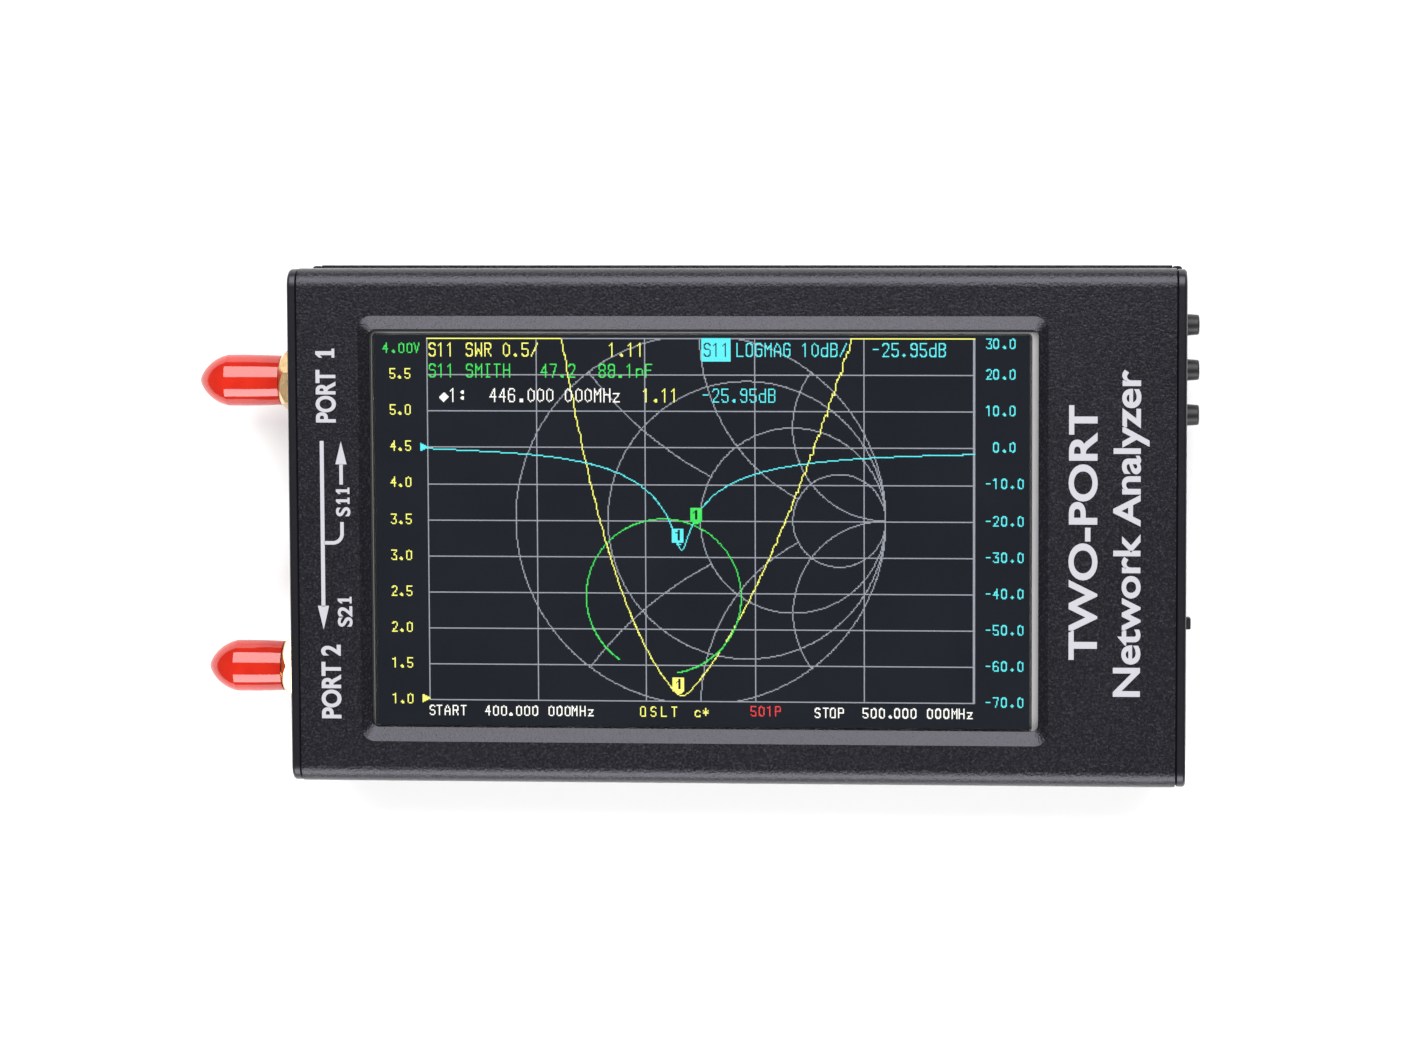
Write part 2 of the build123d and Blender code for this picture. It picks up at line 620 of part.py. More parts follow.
for number, y in enumerate(port_ys, start=1):
    with BuildPart() as port_body:
        with BuildSketch(Plane.YZ.offset(-plate_inner_x)):
            with Locations((y, port_axis_z)):
                Rectangle(port_flange, port_flange)
        extrude(amount=port_flange_thickness)
        with BuildSketch(Plane.YZ.offset(-plate_inner_x)):
            with Locations((y, port_axis_z)):
                Circle(thread_radius)
        extrude(amount=-(plate_thickness + thread_length))
        chamfer(port_body.edges().group_by(Axis.X)[0], port_mouth_chamfer)
        with BuildSketch(Plane.YZ.offset(board_left_x)):
            for side in (-1, 1):
                with Locations((y + side * port_leg_spread, board_top_z + port_leg / 2)):
                    Rectangle(port_leg, port_leg)
                with Locations((y + side * port_leg_spread, board_bottom_z - port_leg / 2)):
                    Rectangle(port_leg, port_leg)
        extrude(amount=port_leg_length)
        with BuildSketch(Plane.YZ.offset(board_left_x)):
            with Locations((y, port_axis_z)):
                Circle(dielectric_radius)
        extrude(amount=-(port_flange_thickness + plate_thickness + thread_length), mode=Mode.SUBTRACT)
        with BuildSketch(Plane.YZ.offset(port_end_x)):
            with Locations((y, port_axis_z)):
                Circle(port_mouth_radius)
        extrude(amount=dielectric_setback, mode=Mode.SUBTRACT)
    port_body.part.label = f"port_{number}_body"
    export_step(port_body.part, f"parts/port_{number}_body.step")

    with BuildPart() as port_dielectric:
        with BuildSketch(Plane.YZ.offset(board_left_x)):
            with Locations((y, port_axis_z)):
                Circle(dielectric_radius)
                Circle(contact_radius, mode=Mode.SUBTRACT)
        extrude(amount=port_end_x + dielectric_setback - board_left_x)
    port_dielectric.part.label = f"port_{number}_dielectric"
    export_step(port_dielectric.part, f"parts/port_{number}_dielectric.step")

    with BuildPart() as port_contact:
        with BuildSketch(Plane.YZ.offset(port_end_x + dielectric_setback)):
            with Locations((y, port_axis_z)):
                Circle(contact_radius)
        extrude(amount=board_left_x - port_end_x - dielectric_setback)
        with BuildSketch(Plane.YZ.offset(board_left_x)):
            with Locations((y, port_axis_z)):
                Circle(contact_tail_radius)
        extrude(amount=contact_tail_length)
        with BuildSketch(Plane.YZ.offset(port_end_x + dielectric_setback)):
            with Locations((y, port_axis_z)):
                Circle(contact_bore_radius)
                Rectangle(contact_slot_reach, contact_slot)
                Rectangle(contact_slot, contact_slot_reach)
        extrude(amount=contact_bore_depth, mode=Mode.SUBTRACT)
    port_contact.part.label = f"port_{number}_contact"
    export_step(port_contact.part, f"parts/port_{number}_contact.step")

    with BuildPart() as port_washer:
        with BuildSketch(Plane.YZ.offset(-plate_outer_x)):
            with Locations((y, port_axis_z)):
                Circle(thread_radius + washer_band)
                Circle(thread_radius + nut_clearance, mode=Mode.SUBTRACT)
        extrude(amount=-washer_thickness)
    port_washer.part.label = f"port_{number}_washer"
    export_step(port_washer.part, f"parts/port_{number}_washer.step")

    nut_rear_x = -plate_outer_x - washer_thickness
    nut_face_x = nut_rear_x - nut_thickness
    nut_corner_radius = 2 * nut_apothem / math.sqrt(3)
    nut_slope = nut_corner_radius - nut_face_radius
    with BuildPart() as port_nut:
        with BuildSketch(Plane.YZ.offset(nut_rear_x)):
            with Locations((y, port_axis_z)):
                RegularPolygon(nut_apothem, 6, major_radius=False, rotation=nut_turns[number - 1])
                Circle(thread_radius + nut_clearance, mode=Mode.SUBTRACT)
        extrude(amount=-nut_thickness)
        with BuildSketch(Plane.XY.offset(port_axis_z)):
            with BuildLine():
                Polyline(
                    (nut_rear_x, y),
                    (nut_rear_x, y + nut_corner_radius),
                    (nut_face_x + nut_slope, y + nut_corner_radius),
                    (nut_face_x, y + nut_face_radius),
                    (nut_face_x, y),
                    close=True,
                )
            make_face()
        revolve(axis=Axis((0, y, port_axis_z), (1, 0, 0)), mode=Mode.INTERSECT)
    port_nut.part.label = f"port_{number}_nut"
    export_step(port_nut.part, f"parts/port_{number}_nut.step")

    # The cap's half section is drawn about the port's axis and turned round it: a barrel that
    # swells from its mouth, and a nose on one arc that ends in a small rounded tip.
    cap_open_x = -plate_outer_x - cap_setbacks[number - 1]
    cap_tip_x = cap_open_x - cap_lengths[number - 1]
    cap_nose_x = cap_tip_x + cap_nose
    cap_bore_x = port_end_x - cap_end_gap
    with BuildPart() as port_cap:
        with BuildSketch(Plane.XY.offset(port_axis_z)):
            with BuildLine():
                Line((cap_bore_x, y), (cap_tip_x, y))
                Line((cap_tip_x, y), (cap_tip_x, y + cap_nose_flat))
                ThreePointArc(
                    (cap_tip_x, y + cap_nose_flat),
                    (cap_tip_x + cap_nose / 2, y + cap_nose_fullness * cap_radius + cap_nose_flat / 4),
                    (cap_nose_x, y + cap_radius),
                )
                ThreePointArc(
                    (cap_nose_x, y + cap_radius),
                    ((cap_nose_x + cap_open_x) / 2, y + cap_radius - cap_barrel_fullness * cap_swell),
                    (cap_open_x, y + cap_mouth_radius),
                )
                Line((cap_open_x, y + cap_mouth_radius), (cap_open_x, y + cap_bore_radius))
                Line((cap_open_x, y + cap_bore_radius), (cap_bore_x, y + cap_bore_radius))
                Line((cap_bore_x, y + cap_bore_radius), (cap_bore_x, y))
            make_face()
        revolve(axis=Axis((0, y, port_axis_z), (1, 0, 0)))
        fillet(port_cap.edges().sort_by(Axis.X)[0], cap_nose_round)
        bore_end = port_cap.edges().filter_by(GeomType.CIRCLE)
        fillet(bore_end.filter_by_position(Axis.X, cap_bore_x - 0.01, cap_bore_x + 0.01), cap_bore_round)
    port_cap.part.label = f"port_{number}_cap"
    export_step(port_cap.part, f"parts/port_{number}_cap.step")


# ------------------------------------------------------------------ keys

key_guide_radius = key_stem_radius + key_guide_clearance
key_body_x = control_front_x - key_cover_thickness - key_body_depth
with BuildPart() as key_switches:
    with BuildSketch(Plane.YZ.offset(key_body_x)):
        with Locations(*[(y, board_top_z + key_body_height / 2) for y in key_ys]):
            Rectangle(key_body_width, key_body_height)
    extrude(amount=key_body_depth)
    with BuildSketch(Plane.YZ.offset(control_front_x - key_cover_thickness)):
        with Locations(*[(y, control_z) for y in key_ys]):
            Circle(key_cavity_radius)
    extrude(amount=-key_cavity_depth, mode=Mode.SUBTRACT)
key_switches.part.label = "key_switches"
export_step(key_switches.part, "parts/key_switches.step")

with BuildPart() as key_switch_covers:
    with BuildSketch(Plane.YZ.offset(control_front_x - key_cover_thickness)):
        with Locations(*[(y, board_top_z + key_body_height / 2) for y in key_ys]):
            Rectangle(key_body_width, key_body_height)
        with Locations(*[(y, control_z) for y in key_ys]):
            Circle(key_guide_radius, mode=Mode.SUBTRACT)
    extrude(amount=key_cover_thickness)
key_switch_covers.part.label = "key_switch_covers"
export_step(key_switch_covers.part, "parts/key_switch_covers.step")

with BuildPart() as key_domes:
    with BuildSketch(Plane.YZ.offset(control_front_x - key_cover_thickness - key_cavity_depth)):
        with Locations(*[(y, control_z) for y in key_ys]):
            Circle(dome_radius)
    extrude(amount=dome_thickness)
key_domes.part.label = "key_domes"
export_step(key_domes.part, "parts/key_domes.step")

# Each key is one turned pin: a nub and a flange inside the switch, a stem through its cover,
# and a tapered finger end through the end plate. It is drawn as a half section and turned.
flange_front_x = control_front_x - key_cover_thickness - key_guide_clearance
flange_rear_x = flange_front_x - key_flange_thickness
key_shoulder_x = control_front_x + key_travel + key_guide_clearance
key_tip_x = plate_outer_x + key_reach
for number, y in enumerate(key_ys, start=1):
    with BuildPart() as key_button:
        with BuildSketch(Plane.XY.offset(control_z)):
            with BuildLine():
                Polyline(
                    (flange_rear_x - key_nub_length, y),
                    (flange_rear_x - key_nub_length, y + key_nub_radius),
                    (flange_rear_x, y + key_nub_radius),
                    (flange_rear_x, y + key_flange_radius),
                    (flange_front_x, y + key_flange_radius),
                    (flange_front_x, y + key_stem_radius),
                    (key_shoulder_x, y + key_stem_radius),
                    (key_shoulder_x, y + key_radius),
                    (plate_outer_x, y + key_radius),
                    (key_tip_x, y + key_radius - key_taper),
                    (key_tip_x, y),
                    close=True,
                )
            make_face()
        revolve(axis=Axis((0, y, control_z), (1, 0, 0)))
        fillet(key_button.edges().sort_by(Axis.X)[-1], key_tip_round)
    key_button.part.label = f"key_button_{number}"
    export_step(key_button.part, f"parts/key_button_{number}.step")


# ------------------------------------------------------------------ power slide switch

slider_cover_x = control_front_x - slider_cover_thickness
slider_shoe_x = slider_cover_x - key_guide_clearance - slider_shoe_thickness
with BuildPart() as slide_switch:
    with BuildSketch(Plane.YZ.offset(slider_cover_x)):
        with Locations((slider_body_y, board_top_z + slider_body_height / 2)):
            Rectangle(slider_body_length, slider_body_height)
    extrude(amount=-slider_body_depth)
    with BuildSketch(Plane.YZ.offset(slider_cover_x)):
        with Locations((slider_body_y, control_z)):
            Rectangle(
                slider_shoe_length + slider_travel + 2 * slider_clearance,
                slider_shoe_height + 2 * slider_clearance,
            )
    extrude(amount=-slider_cavity_depth, mode=Mode.SUBTRACT)
slide_switch.part.label = "slide_switch"
export_step(slide_switch.part, "parts/slide_switch.step")

with BuildPart() as slide_switch_cover:
    with BuildSketch(Plane.YZ.offset(slider_cover_x)):
        with Locations((slider_body_y, board_top_z + slider_body_height / 2)):
            Rectangle(slider_body_length, slider_body_height)
        with Locations((slider_body_y, control_z)):
            Rectangle(
                slider_width + slider_travel + 2 * slider_clearance,
                slider_height + 2 * slider_clearance,
                mode=Mode.SUBTRACT,
            )
    extrude(amount=slider_cover_thickness)
slide_switch_cover.part.label = "slide_switch_cover"
export_step(slide_switch_cover.part, "parts/slide_switch_cover.step")

with BuildPart() as power_slider:
    with BuildSketch(Plane.YZ.offset(slider_shoe_x)):
        with Locations((slider_y, control_z)):
            Rectangle(slider_shoe_length, slider_shoe_height)
    extrude(amount=slider_shoe_thickness)
    with BuildSketch(Plane.YZ.offset(slider_shoe_x)):
        with Locations((slider_y, control_z)):
            Rectangle(slider_width, slider_height)
    extrude(amount=plate_outer_x + slider_reach - slider_shoe_x)
    fillet(power_slider.faces().sort_by(Axis.X)[-1].edges(), slider_grip_round)
power_slider.part.label = "power_slider"
export_step(power_slider.part, "parts/power_slider.step")


# ------------------------------------------------------------------ charging inlet and light

usb_z = board_top_z + usb_height / 2
usb_front_x = plate_outer_x - usb_recess
with BuildPart() as usb_shell:
    with BuildSketch(Plane.YZ.offset(usb_front_x)):
        with Locations((usb_y, usb_z)):
            SlotOverall(usb_width, usb_height)
    extrude(amount=-usb_length)
    with BuildSketch(Plane.YZ.offset(usb_front_x)):
        with Locations((usb_y, usb_z)):
            SlotOverall(usb_width - 2 * usb_wall, usb_height - 2 * usb_wall)
    extrude(amount=-usb_length, mode=Mode.SUBTRACT)
usb_shell.part.label = "usb_shell"
export_step(usb_shell.part, "parts/usb_shell.step")

with BuildPart() as usb_insert:
    with BuildSketch(Plane.YZ.offset(usb_front_x - usb_length)):
        with Locations((usb_y, usb_z)):
            SlotOverall(usb_width - 2 * usb_wall, usb_height - 2 * usb_wall)
    extrude(amount=usb_back_thickness)
    with BuildSketch(Plane.YZ.offset(usb_front_x - usb_length + usb_back_thickness)):
        with Locations((usb_y, usb_z)):
            Rectangle(usb_tongue_width, usb_tongue_thickness)
    extrude(amount=usb_length - usb_back_thickness - usb_tongue_setback)
usb_insert.part.label = "usb_insert"
export_step(usb_insert.part, "parts/usb_insert.step")

with BuildPart() as charge_light:
    with BuildSketch(Plane.XY.offset(board_top_z)):
        with Locations((board_right_x - led_size / 2, led_y)):
            Rectangle(led_size, led_size)
    extrude(amount=control_z + pipe_radius - board_top_z)
charge_light.part.label = "charge_light"
export_step(charge_light.part, "parts/charge_light.step")

with BuildPart() as light_pipe:
    with BuildSketch(Plane.YZ.offset(board_right_x)):
        with Locations((led_y, control_z)):
            Circle(pipe_radius)
    extrude(amount=plate_outer_x - board_right_x)
light_pipe.part.label = "light_pipe"
export_step(light_pipe.part, "parts/light_pipe.step")


# ------------------------------------------------------------------ battery pack

with BuildPart() as battery_tape:
    with BuildSketch(Plane.XY.offset(back_thickness)):
        with Locations((battery_x, 0)):
            Rectangle(battery_length - 2 * tape_margin, battery_width - 2 * tape_margin)
    extrude(amount=tape_thickness)
battery_tape.part.label = "battery_tape"
export_step(battery_tape.part, "parts/battery_tape.step")

with BuildPart() as battery_cell:
    with BuildSketch(Plane.YZ.offset(battery_x - battery_length / 2)):
        with Locations((0, battery_bottom_z + battery_height / 2)):
            RectangleRounded(battery_width, battery_height, battery_round)
    extrude(amount=battery_length)
battery_cell.part.label = "battery_cell"
export_step(battery_cell.part, "parts/battery_cell.step")

with BuildPart() as battery_guard_board:
    with BuildSketch(Plane.XY.offset(guard_z)):
        with Locations((battery_end_x + guard_length / 2, 0)):
            Rectangle(guard_length, guard_width)
    extrude(amount=guard_thickness)
battery_guard_board.part.label = "battery_guard_board"
export_step(battery_guard_board.part, "parts/battery_guard_board.step")

# Each lead runs straight out of the guard board, crosses at 45 degrees and runs into the plug.
# The arcs take nearly half of each straight run.
lead_arc = lead_arc_share * lead_run / math.tan(math.radians(lead_turn / 2))
for name, offset in (("battery_lead_positive", lead_pitch / 2), ("battery_lead_negative", -lead_pitch / 2)):
    with BuildPart() as battery_lead:
        start_y = lead_start_y + offset
        with BuildLine():
            FilletPolyline(
                (lead_start_x, start_y, lead_z),
                (lead_start_x + lead_run, start_y, lead_z),
                (lead_start_x + 2 * lead_run, start_y - lead_run, lead_z),
                (plug_rear_x, start_y - lead_run, lead_z),
                radius=lead_arc,
            )
        with BuildSketch(Plane.YZ.offset(lead_start_x)):
            with Locations((start_y, lead_z)):
                Circle(lead_radius)
        sweep()
    battery_lead.part.label = name
    export_step(battery_lead.part, f"parts/{name}.step")

plug_front_x = plug_rear_x + plug_length
socket_mouth_x = plug_front_x - plug_overlap
socket_height = board_bottom_z - (lead_z - plug_height / 2 - socket_clearance - socket_wall)
with BuildPart() as battery_plug:
    with BuildSketch(Plane.YZ.offset(plug_rear_x)):
        with Locations((plug_y, lead_z)):
            Rectangle(plug_width, plug_height)
    extrude(amount=plug_length)
    chamfer(battery_plug.faces().sort_by(Axis.X)[0].edges(), plug_chamfer)
battery_plug.part.label = "battery_plug"
export_step(battery_plug.part, "parts/battery_plug.step")

with BuildPart() as battery_socket:
    with BuildSketch(Plane.YZ.offset(socket_mouth_x)):
        with Locations((plug_y, board_bottom_z - socket_height / 2)):
            Rectangle(plug_width + 2 * (socket_clearance + socket_wall), socket_height)
    extrude(amount=socket_length)
    with BuildSketch(Plane.YZ.offset(socket_mouth_x)):
        with Locations((plug_y, lead_z)):
            Rectangle(plug_width + 2 * socket_clearance, plug_height + 2 * socket_clearance)
    extrude(amount=plug_overlap, mode=Mode.SUBTRACT)
battery_socket.part.label = "battery_socket"
export_step(battery_socket.part, "parts/battery_socket.step")
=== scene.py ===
import json
import math
import bmesh
import bpy
import numpy as np
from mathutils import Euler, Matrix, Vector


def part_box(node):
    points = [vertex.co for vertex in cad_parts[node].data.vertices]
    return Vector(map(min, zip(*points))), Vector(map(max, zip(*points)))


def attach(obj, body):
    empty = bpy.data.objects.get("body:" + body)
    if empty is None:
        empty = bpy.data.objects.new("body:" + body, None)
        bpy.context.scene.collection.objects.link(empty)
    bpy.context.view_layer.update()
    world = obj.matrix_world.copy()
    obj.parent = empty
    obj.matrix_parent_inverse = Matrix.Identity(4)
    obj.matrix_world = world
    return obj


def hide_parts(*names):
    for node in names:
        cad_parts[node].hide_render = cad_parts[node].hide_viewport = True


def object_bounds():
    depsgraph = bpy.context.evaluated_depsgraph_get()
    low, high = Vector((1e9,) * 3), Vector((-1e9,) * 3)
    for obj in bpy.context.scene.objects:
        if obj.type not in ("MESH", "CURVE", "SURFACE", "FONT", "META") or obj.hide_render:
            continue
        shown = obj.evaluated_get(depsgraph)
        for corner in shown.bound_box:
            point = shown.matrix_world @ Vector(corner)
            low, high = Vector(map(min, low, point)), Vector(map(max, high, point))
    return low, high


# A handheld two-port network analyzer lying on its back. X runs from the test ports to the keys,
# Y across the case and Z out of the screen. Lengths are in metres, and MM turns millimetres into them.
MM = 0.001

# The display's dots, in millimetres from one to the next.
DOT = 0.17

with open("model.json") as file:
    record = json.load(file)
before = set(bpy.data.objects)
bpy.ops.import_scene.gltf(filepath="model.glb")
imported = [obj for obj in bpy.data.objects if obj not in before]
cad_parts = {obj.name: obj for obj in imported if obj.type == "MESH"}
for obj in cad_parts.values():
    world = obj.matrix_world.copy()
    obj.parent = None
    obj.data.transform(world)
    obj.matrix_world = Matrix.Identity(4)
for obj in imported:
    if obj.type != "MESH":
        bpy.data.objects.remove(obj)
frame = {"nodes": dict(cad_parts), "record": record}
cad_low, cad_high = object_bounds()
nodes = frame["nodes"]


# ---------------------------------------------------------------- finishes

class Value:
    """One shader socket that takes part in sums. An expression on values adds its Math nodes."""

    def __init__(self, finish, socket):
        self.finish, self.socket = finish, socket

    def _sum(self, operation, *terms):
        return self.finish.node("ShaderNodeMath", {"operation": operation}, dict(enumerate(terms)))

    def __add__(self, other):
        return self._sum("ADD", self, other)

    def __sub__(self, other):
        return self._sum("SUBTRACT", self, other)

    def __mul__(self, other):
        return self._sum("MULTIPLY", self, other)

    def __truediv__(self, other):
        return self._sum("DIVIDE", self, other)

    def __mod__(self, other):
        return self._sum("FLOORED_MODULO", self, other)

    def __abs__(self):
        return self._sum("ABSOLUTE", self)

    def below(self, edge):
        """One where this value is under the edge, else zero."""
        return self._sum("LESS_THAN", self, edge)

    def step(self, low, high):
        """Rises smoothly from zero at low to one at high."""
        return self.finish.node("ShaderNodeMapRange", {"interpolation_type": "SMOOTHSTEP"},
                                {0: self, 1: low, 2: high, 3: 0.0, 4: 1.0})


class Finish:
    """A material being made. Constants sit on the shader's own sockets, and links bring what varies."""

    def __init__(self, name, **constants):
        self.material = bpy.data.materials.new(name)
        self.material.use_nodes = True
        self.tree = self.material.node_tree
        self.tree.nodes.clear()
        self.shader = self.tree.nodes.new("ShaderNodeBsdfPrincipled")
        output = self.tree.nodes.new("ShaderNodeOutputMaterial")
        self.tree.links.new(self.shader.outputs[0], output.inputs[0])
        for socket, value in constants.items():
            self.shader.inputs[socket.replace("_", " ").title().replace("Ior", "IOR")].default_value = value
        self._place = None

    def node(self, kind, settings=None, inputs=None, out=0):
        """Adds a node: its settings first, then a value or a link for each socket. Returns one output."""
        made = self.tree.nodes.new(kind)
        for name, setting in (settings or {}).items():
            setattr(made, name, setting)
        for name, given in (inputs or {}).items():
            if isinstance(given, Value):
                self.tree.links.new(given.socket, made.inputs[name])
            else:
                made.inputs[name].default_value = given
        return Value(self, made.outputs[out])

    def place(self):
        """Object coordinates in millimetres."""
        if self._place is None:
            spot = self.node("ShaderNodeTexCoord", out=3)
            self._place = self.node("ShaderNodeVectorMath", {"operation": "MULTIPLY"},
                                    {0: spot, 1: (1 / MM,) * 3})
        return self._place

    def axes(self):
        """The three object coordinates in millimetres, each as a value."""
        split = self.node("ShaderNodeSeparateXYZ", None, {0: self.place()})
        node = split.socket.node
        return [Value(self, node.outputs[i]) for i in range(3)]

    def stretched(self, x=1.0, y=1.0, z=1.0):
        """Object coordinates with each axis scaled, so that a pattern is drawn out along one of them."""
        return self.node("ShaderNodeVectorMath", {"operation": "MULTIPLY"}, {0: self.place(), 1: (x, y, z)})

    def noise(self, size, detail=2.0, roughness=0.5, along=None):
        """Soft noise whose lumps are about size millimetres wide."""
        return self.node("ShaderNodeTexNoise", None,
                         {"Vector": along or self.place(), "Scale": 1 / size,
                          "Detail": detail, "Roughness": roughness})

    def cells(self, size):
        """Distance to the nearest of scattered points that are about size millimetres apart."""
        return self.node("ShaderNodeTexVoronoi", None, {"Vector": self.place(), "Scale": 1 / size})

    def mix(self, share, first, second):
        """Blends two colours by a share from 0 to 1."""
        return self.node("ShaderNodeMix", {"data_type": "RGBA"},
                         {0: share, 6: colour(first), 7: colour(second)}, out=2)

    def bump(self, height, depth):
        """Raises the surface by height times depth millimetres and feeds the normal."""
        lifted = self.node("ShaderNodeBump", None,
                           {"Strength": 1.0, "Distance": depth * MM, "Height": height})
        self.feed(Normal=lifted)
        return self

    def feed(self, **links):
        """Links what varies over the surface to the shader."""
        for name, value in links.items():
            self.tree.links.new(value.socket, self.shader.inputs[name.replace("_", " ")])
        return self


def colour(given):
    """A colour with its opacity, or a link as it is."""
    return given if isinstance(given, Value) else (*given, 1.0)


def case_coating():
    """Fine black powder coat on aluminium: a pebbled skin whose tops are greyer, and a grained sheen."""
    f = Finish("case_coating", specular_ior_level=0.40, specular_tint=(0.90, 0.88, 1.0, 1.0))
    grain = f.noise(0.32, 2.0, 0.65)
    specks = grain.step(0.50, 0.74)
    clouds = f.noise(14.0, 3.0, 0.6).step(0.35, 0.7)
    base = f.mix(clouds, (0.0024, 0.0023, 0.0036), (0.0034, 0.0032, 0.0048))
    f.feed(Base_Color=f.mix(specks * 0.8, base, (0.024, 0.023, 0.029)),
           Roughness=grain * 0.20 + 0.19)
    return f.bump(grain + f.cells(0.42) * 0.3, 0.065)


def plate_coating():
    """The end plates' coating: as the case, with the finer grain of a flat milled part."""
    f = Finish("plate_coating", specular_ior_level=0.42, specular_tint=(0.90, 0.88, 1.0, 1.0))
    specks = f.noise(0.16, 3.0, 0.65).step(0.58, 0.74)
    f.feed(Base_Color=f.mix(specks * 0.7, (0.0036, 0.0034, 0.0048), (0.024, 0.023, 0.028)),
           Roughness=f.noise(0.4, 3.0, 0.6) * 0.12 + 0.26)
    return f.bump(f.noise(0.12, 3.0, 0.7), 0.005)


def metal(name, base, dark, rough, brushed=(1.0, 1.0, 1.0), grain=0.004):
    """Bare or plated metal: two tones of one colour, drawn-out fine scratches and dull patches."""
    f = Finish(name)
    lines = f.noise(0.35, 4.0, 0.65, f.stretched(*brushed))
    patches = f.noise(3.0, 3.0, 0.55)
    f.feed(Base_Color=f.mix(patches * 0.6 + lines * 0.4, base, dark),
           Roughness=lines * 0.18 + patches * 0.10 + (rough - 0.14))
    f.shader.inputs["Metallic"].default_value = 1.0
    return f.bump(lines, grain)


def plastic(name, base, shade, rough, grain=0.2, depth=0.006, **constants):
    """Moulded plastic: a fine spark-eroded grain, with faint flow clouds in colour and sheen."""
    f = Finish(name, **constants)
    clouds = f.noise(2.5, 3.0, 0.5)
    fine = f.noise(grain, 2.0, 0.6)
    f.feed(Base_Color=f.mix(clouds.step(0.3, 0.75), base, shade),
           Roughness=fine * 0.12 + clouds * 0.08 + (rough - 0.1))
    return f.bump(fine, depth)


def grey_frame():
    """The display's moulded frame: pale grey with soft clouds, and painted shade that darkens it at the end
    by the test ports.
    """
    f = Finish("grey_frame", specular_ior_level=0.3)
    x = f.axes()[0]
    clouds = f.noise(2.5, 3.0, 0.5)
    pale = f.mix(clouds, (0.245, 0.24, 0.245), (0.215, 0.21, 0.215))
    # Painted shade: left of x = -52.8 mm the frame's colour falls to a dark grey, standing in for the shadow
    # in the narrow gap by the gasket.
    f.feed(Base_Color=f.mix(x.step(-52.8, -50.0), (0.10, 0.105, 0.10), pale),
           Roughness=f.noise(0.2, 2.0, 0.6) * 0.12 + 0.45)
    return f.bump(f.noise(0.2, 2.0, 0.6), 0.006)


def gold_plate():
    """Gold over nickel, turned on a lathe: fine rings round the port axis and warm tarnish in patches."""
    f = Finish("gold_plate")
    rings = f.noise(0.12, 3.0, 0.6, f.stretched(1.0, 0.06, 0.06))
    tarnish = f.noise(1.6, 3.0, 0.6).step(0.42, 0.8)
    f.feed(Base_Color=f.mix(tarnish, (0.80, 0.56, 0.29), (0.58, 0.38, 0.18)),
           Roughness=rings * 0.16 + tarnish * 0.10 + 0.12)
    f.shader.inputs["Metallic"].default_value = 1.0
    return f.bump(rings, 0.006)


def red_vinyl():
    """Soft glossy red vinyl: dipped skin with slow waves, a few dust grains and a slightly paler bloom."""
    f = Finish("red_vinyl", specular_ior_level=0.0, coat_weight=1.0, coat_roughness=0.07,
               coat_ior=1.58)
    clouds = f.noise(2.2, 3.0, 0.5).step(0.3, 0.75)
    dust = f.cells(1.1).below(0.05)
    base = f.mix(clouds, (0.43, 0.0120, 0.0026), (0.38, 0.0090, 0.0020))
    f.feed(Base_Color=f.mix(dust * 0.3, base, (0.48, 0.12, 0.08)),
           Roughness=f.noise(0.6, 3.0, 0.6) * 0.10 + 0.22)
    return f.bump(f.noise(1.4, 2.0, 0.5), 0.012)


def cover_glass():
    """Clear cover glass with a faint haze of wiped finger marks in its gloss."""
    f = Finish("cover_glass", transmission_weight=1.0, ior=1.5, base_color=(1.0, 1.0, 1.0, 1.0))
    smears = f.noise(5.0, 4.0, 0.65, f.stretched(1.0, 0.35, 1.0)).step(0.45, 0.75)
    f.feed(Roughness=smears * 0.020 + 0.008)
    return f


def screen_panel():
    """The lit display: a bluish dark field, a little brighter in slow clouds, in rows of fine dots."""
    f = Finish("screen_panel", emission_strength=1.0, roughness=0.4, base_color=(0.004, 0.004, 0.005, 1.0))
    y = f.axes()[1]
    clouds = f.noise(16.0, 3.0, 0.5).step(0.3, 0.72)
    rows = abs((y / DOT) % 1.0 - 0.5).step(0.30, 0.5)
    field = f.mix(clouds, (0.0075, 0.0105, 0.0165), (0.0100, 0.0130, 0.0195))
    f.feed(Emission_Color=f.mix(rows * 0.25, field, (0.004, 0.006, 0.010)))
    return f


def lit_dots(name, tone, glow=1.4):
    """Lit dots of one colour on the display. Each row of dots is a little dimmer at its edges."""
    f = Finish(name, emission_strength=glow, roughness=0.5, base_color=(0.0, 0.0, 0.0, 1.0))
    y = f.axes()[1]
    rows = abs((y / DOT) % 1.0 - 0.5).step(0.36, 0.5)
    fainter = tuple(c * 0.75 for c in tone)
    f.feed(Emission_Color=f.mix(rows * 0.6, tone, fainter))
    return f


def print_ink():
    """Screen-printed white ink: slightly uneven cover over the coating's grain."""
    f = Finish("print_ink", specular_ior_level=0.3)
    thin = f.noise(0.18, 3.0, 0.7).step(0.42, 0.78)
    f.feed(Base_Color=f.mix(thin * 0.35, (0.33, 0.325, 0.355), (0.26, 0.255, 0.28)),
           Roughness=f.noise(0.3, 2.0, 0.5) * 0.15 + 0.45)
    return f.bump(f.noise(0.16, 3.0, 0.7), 0.008)


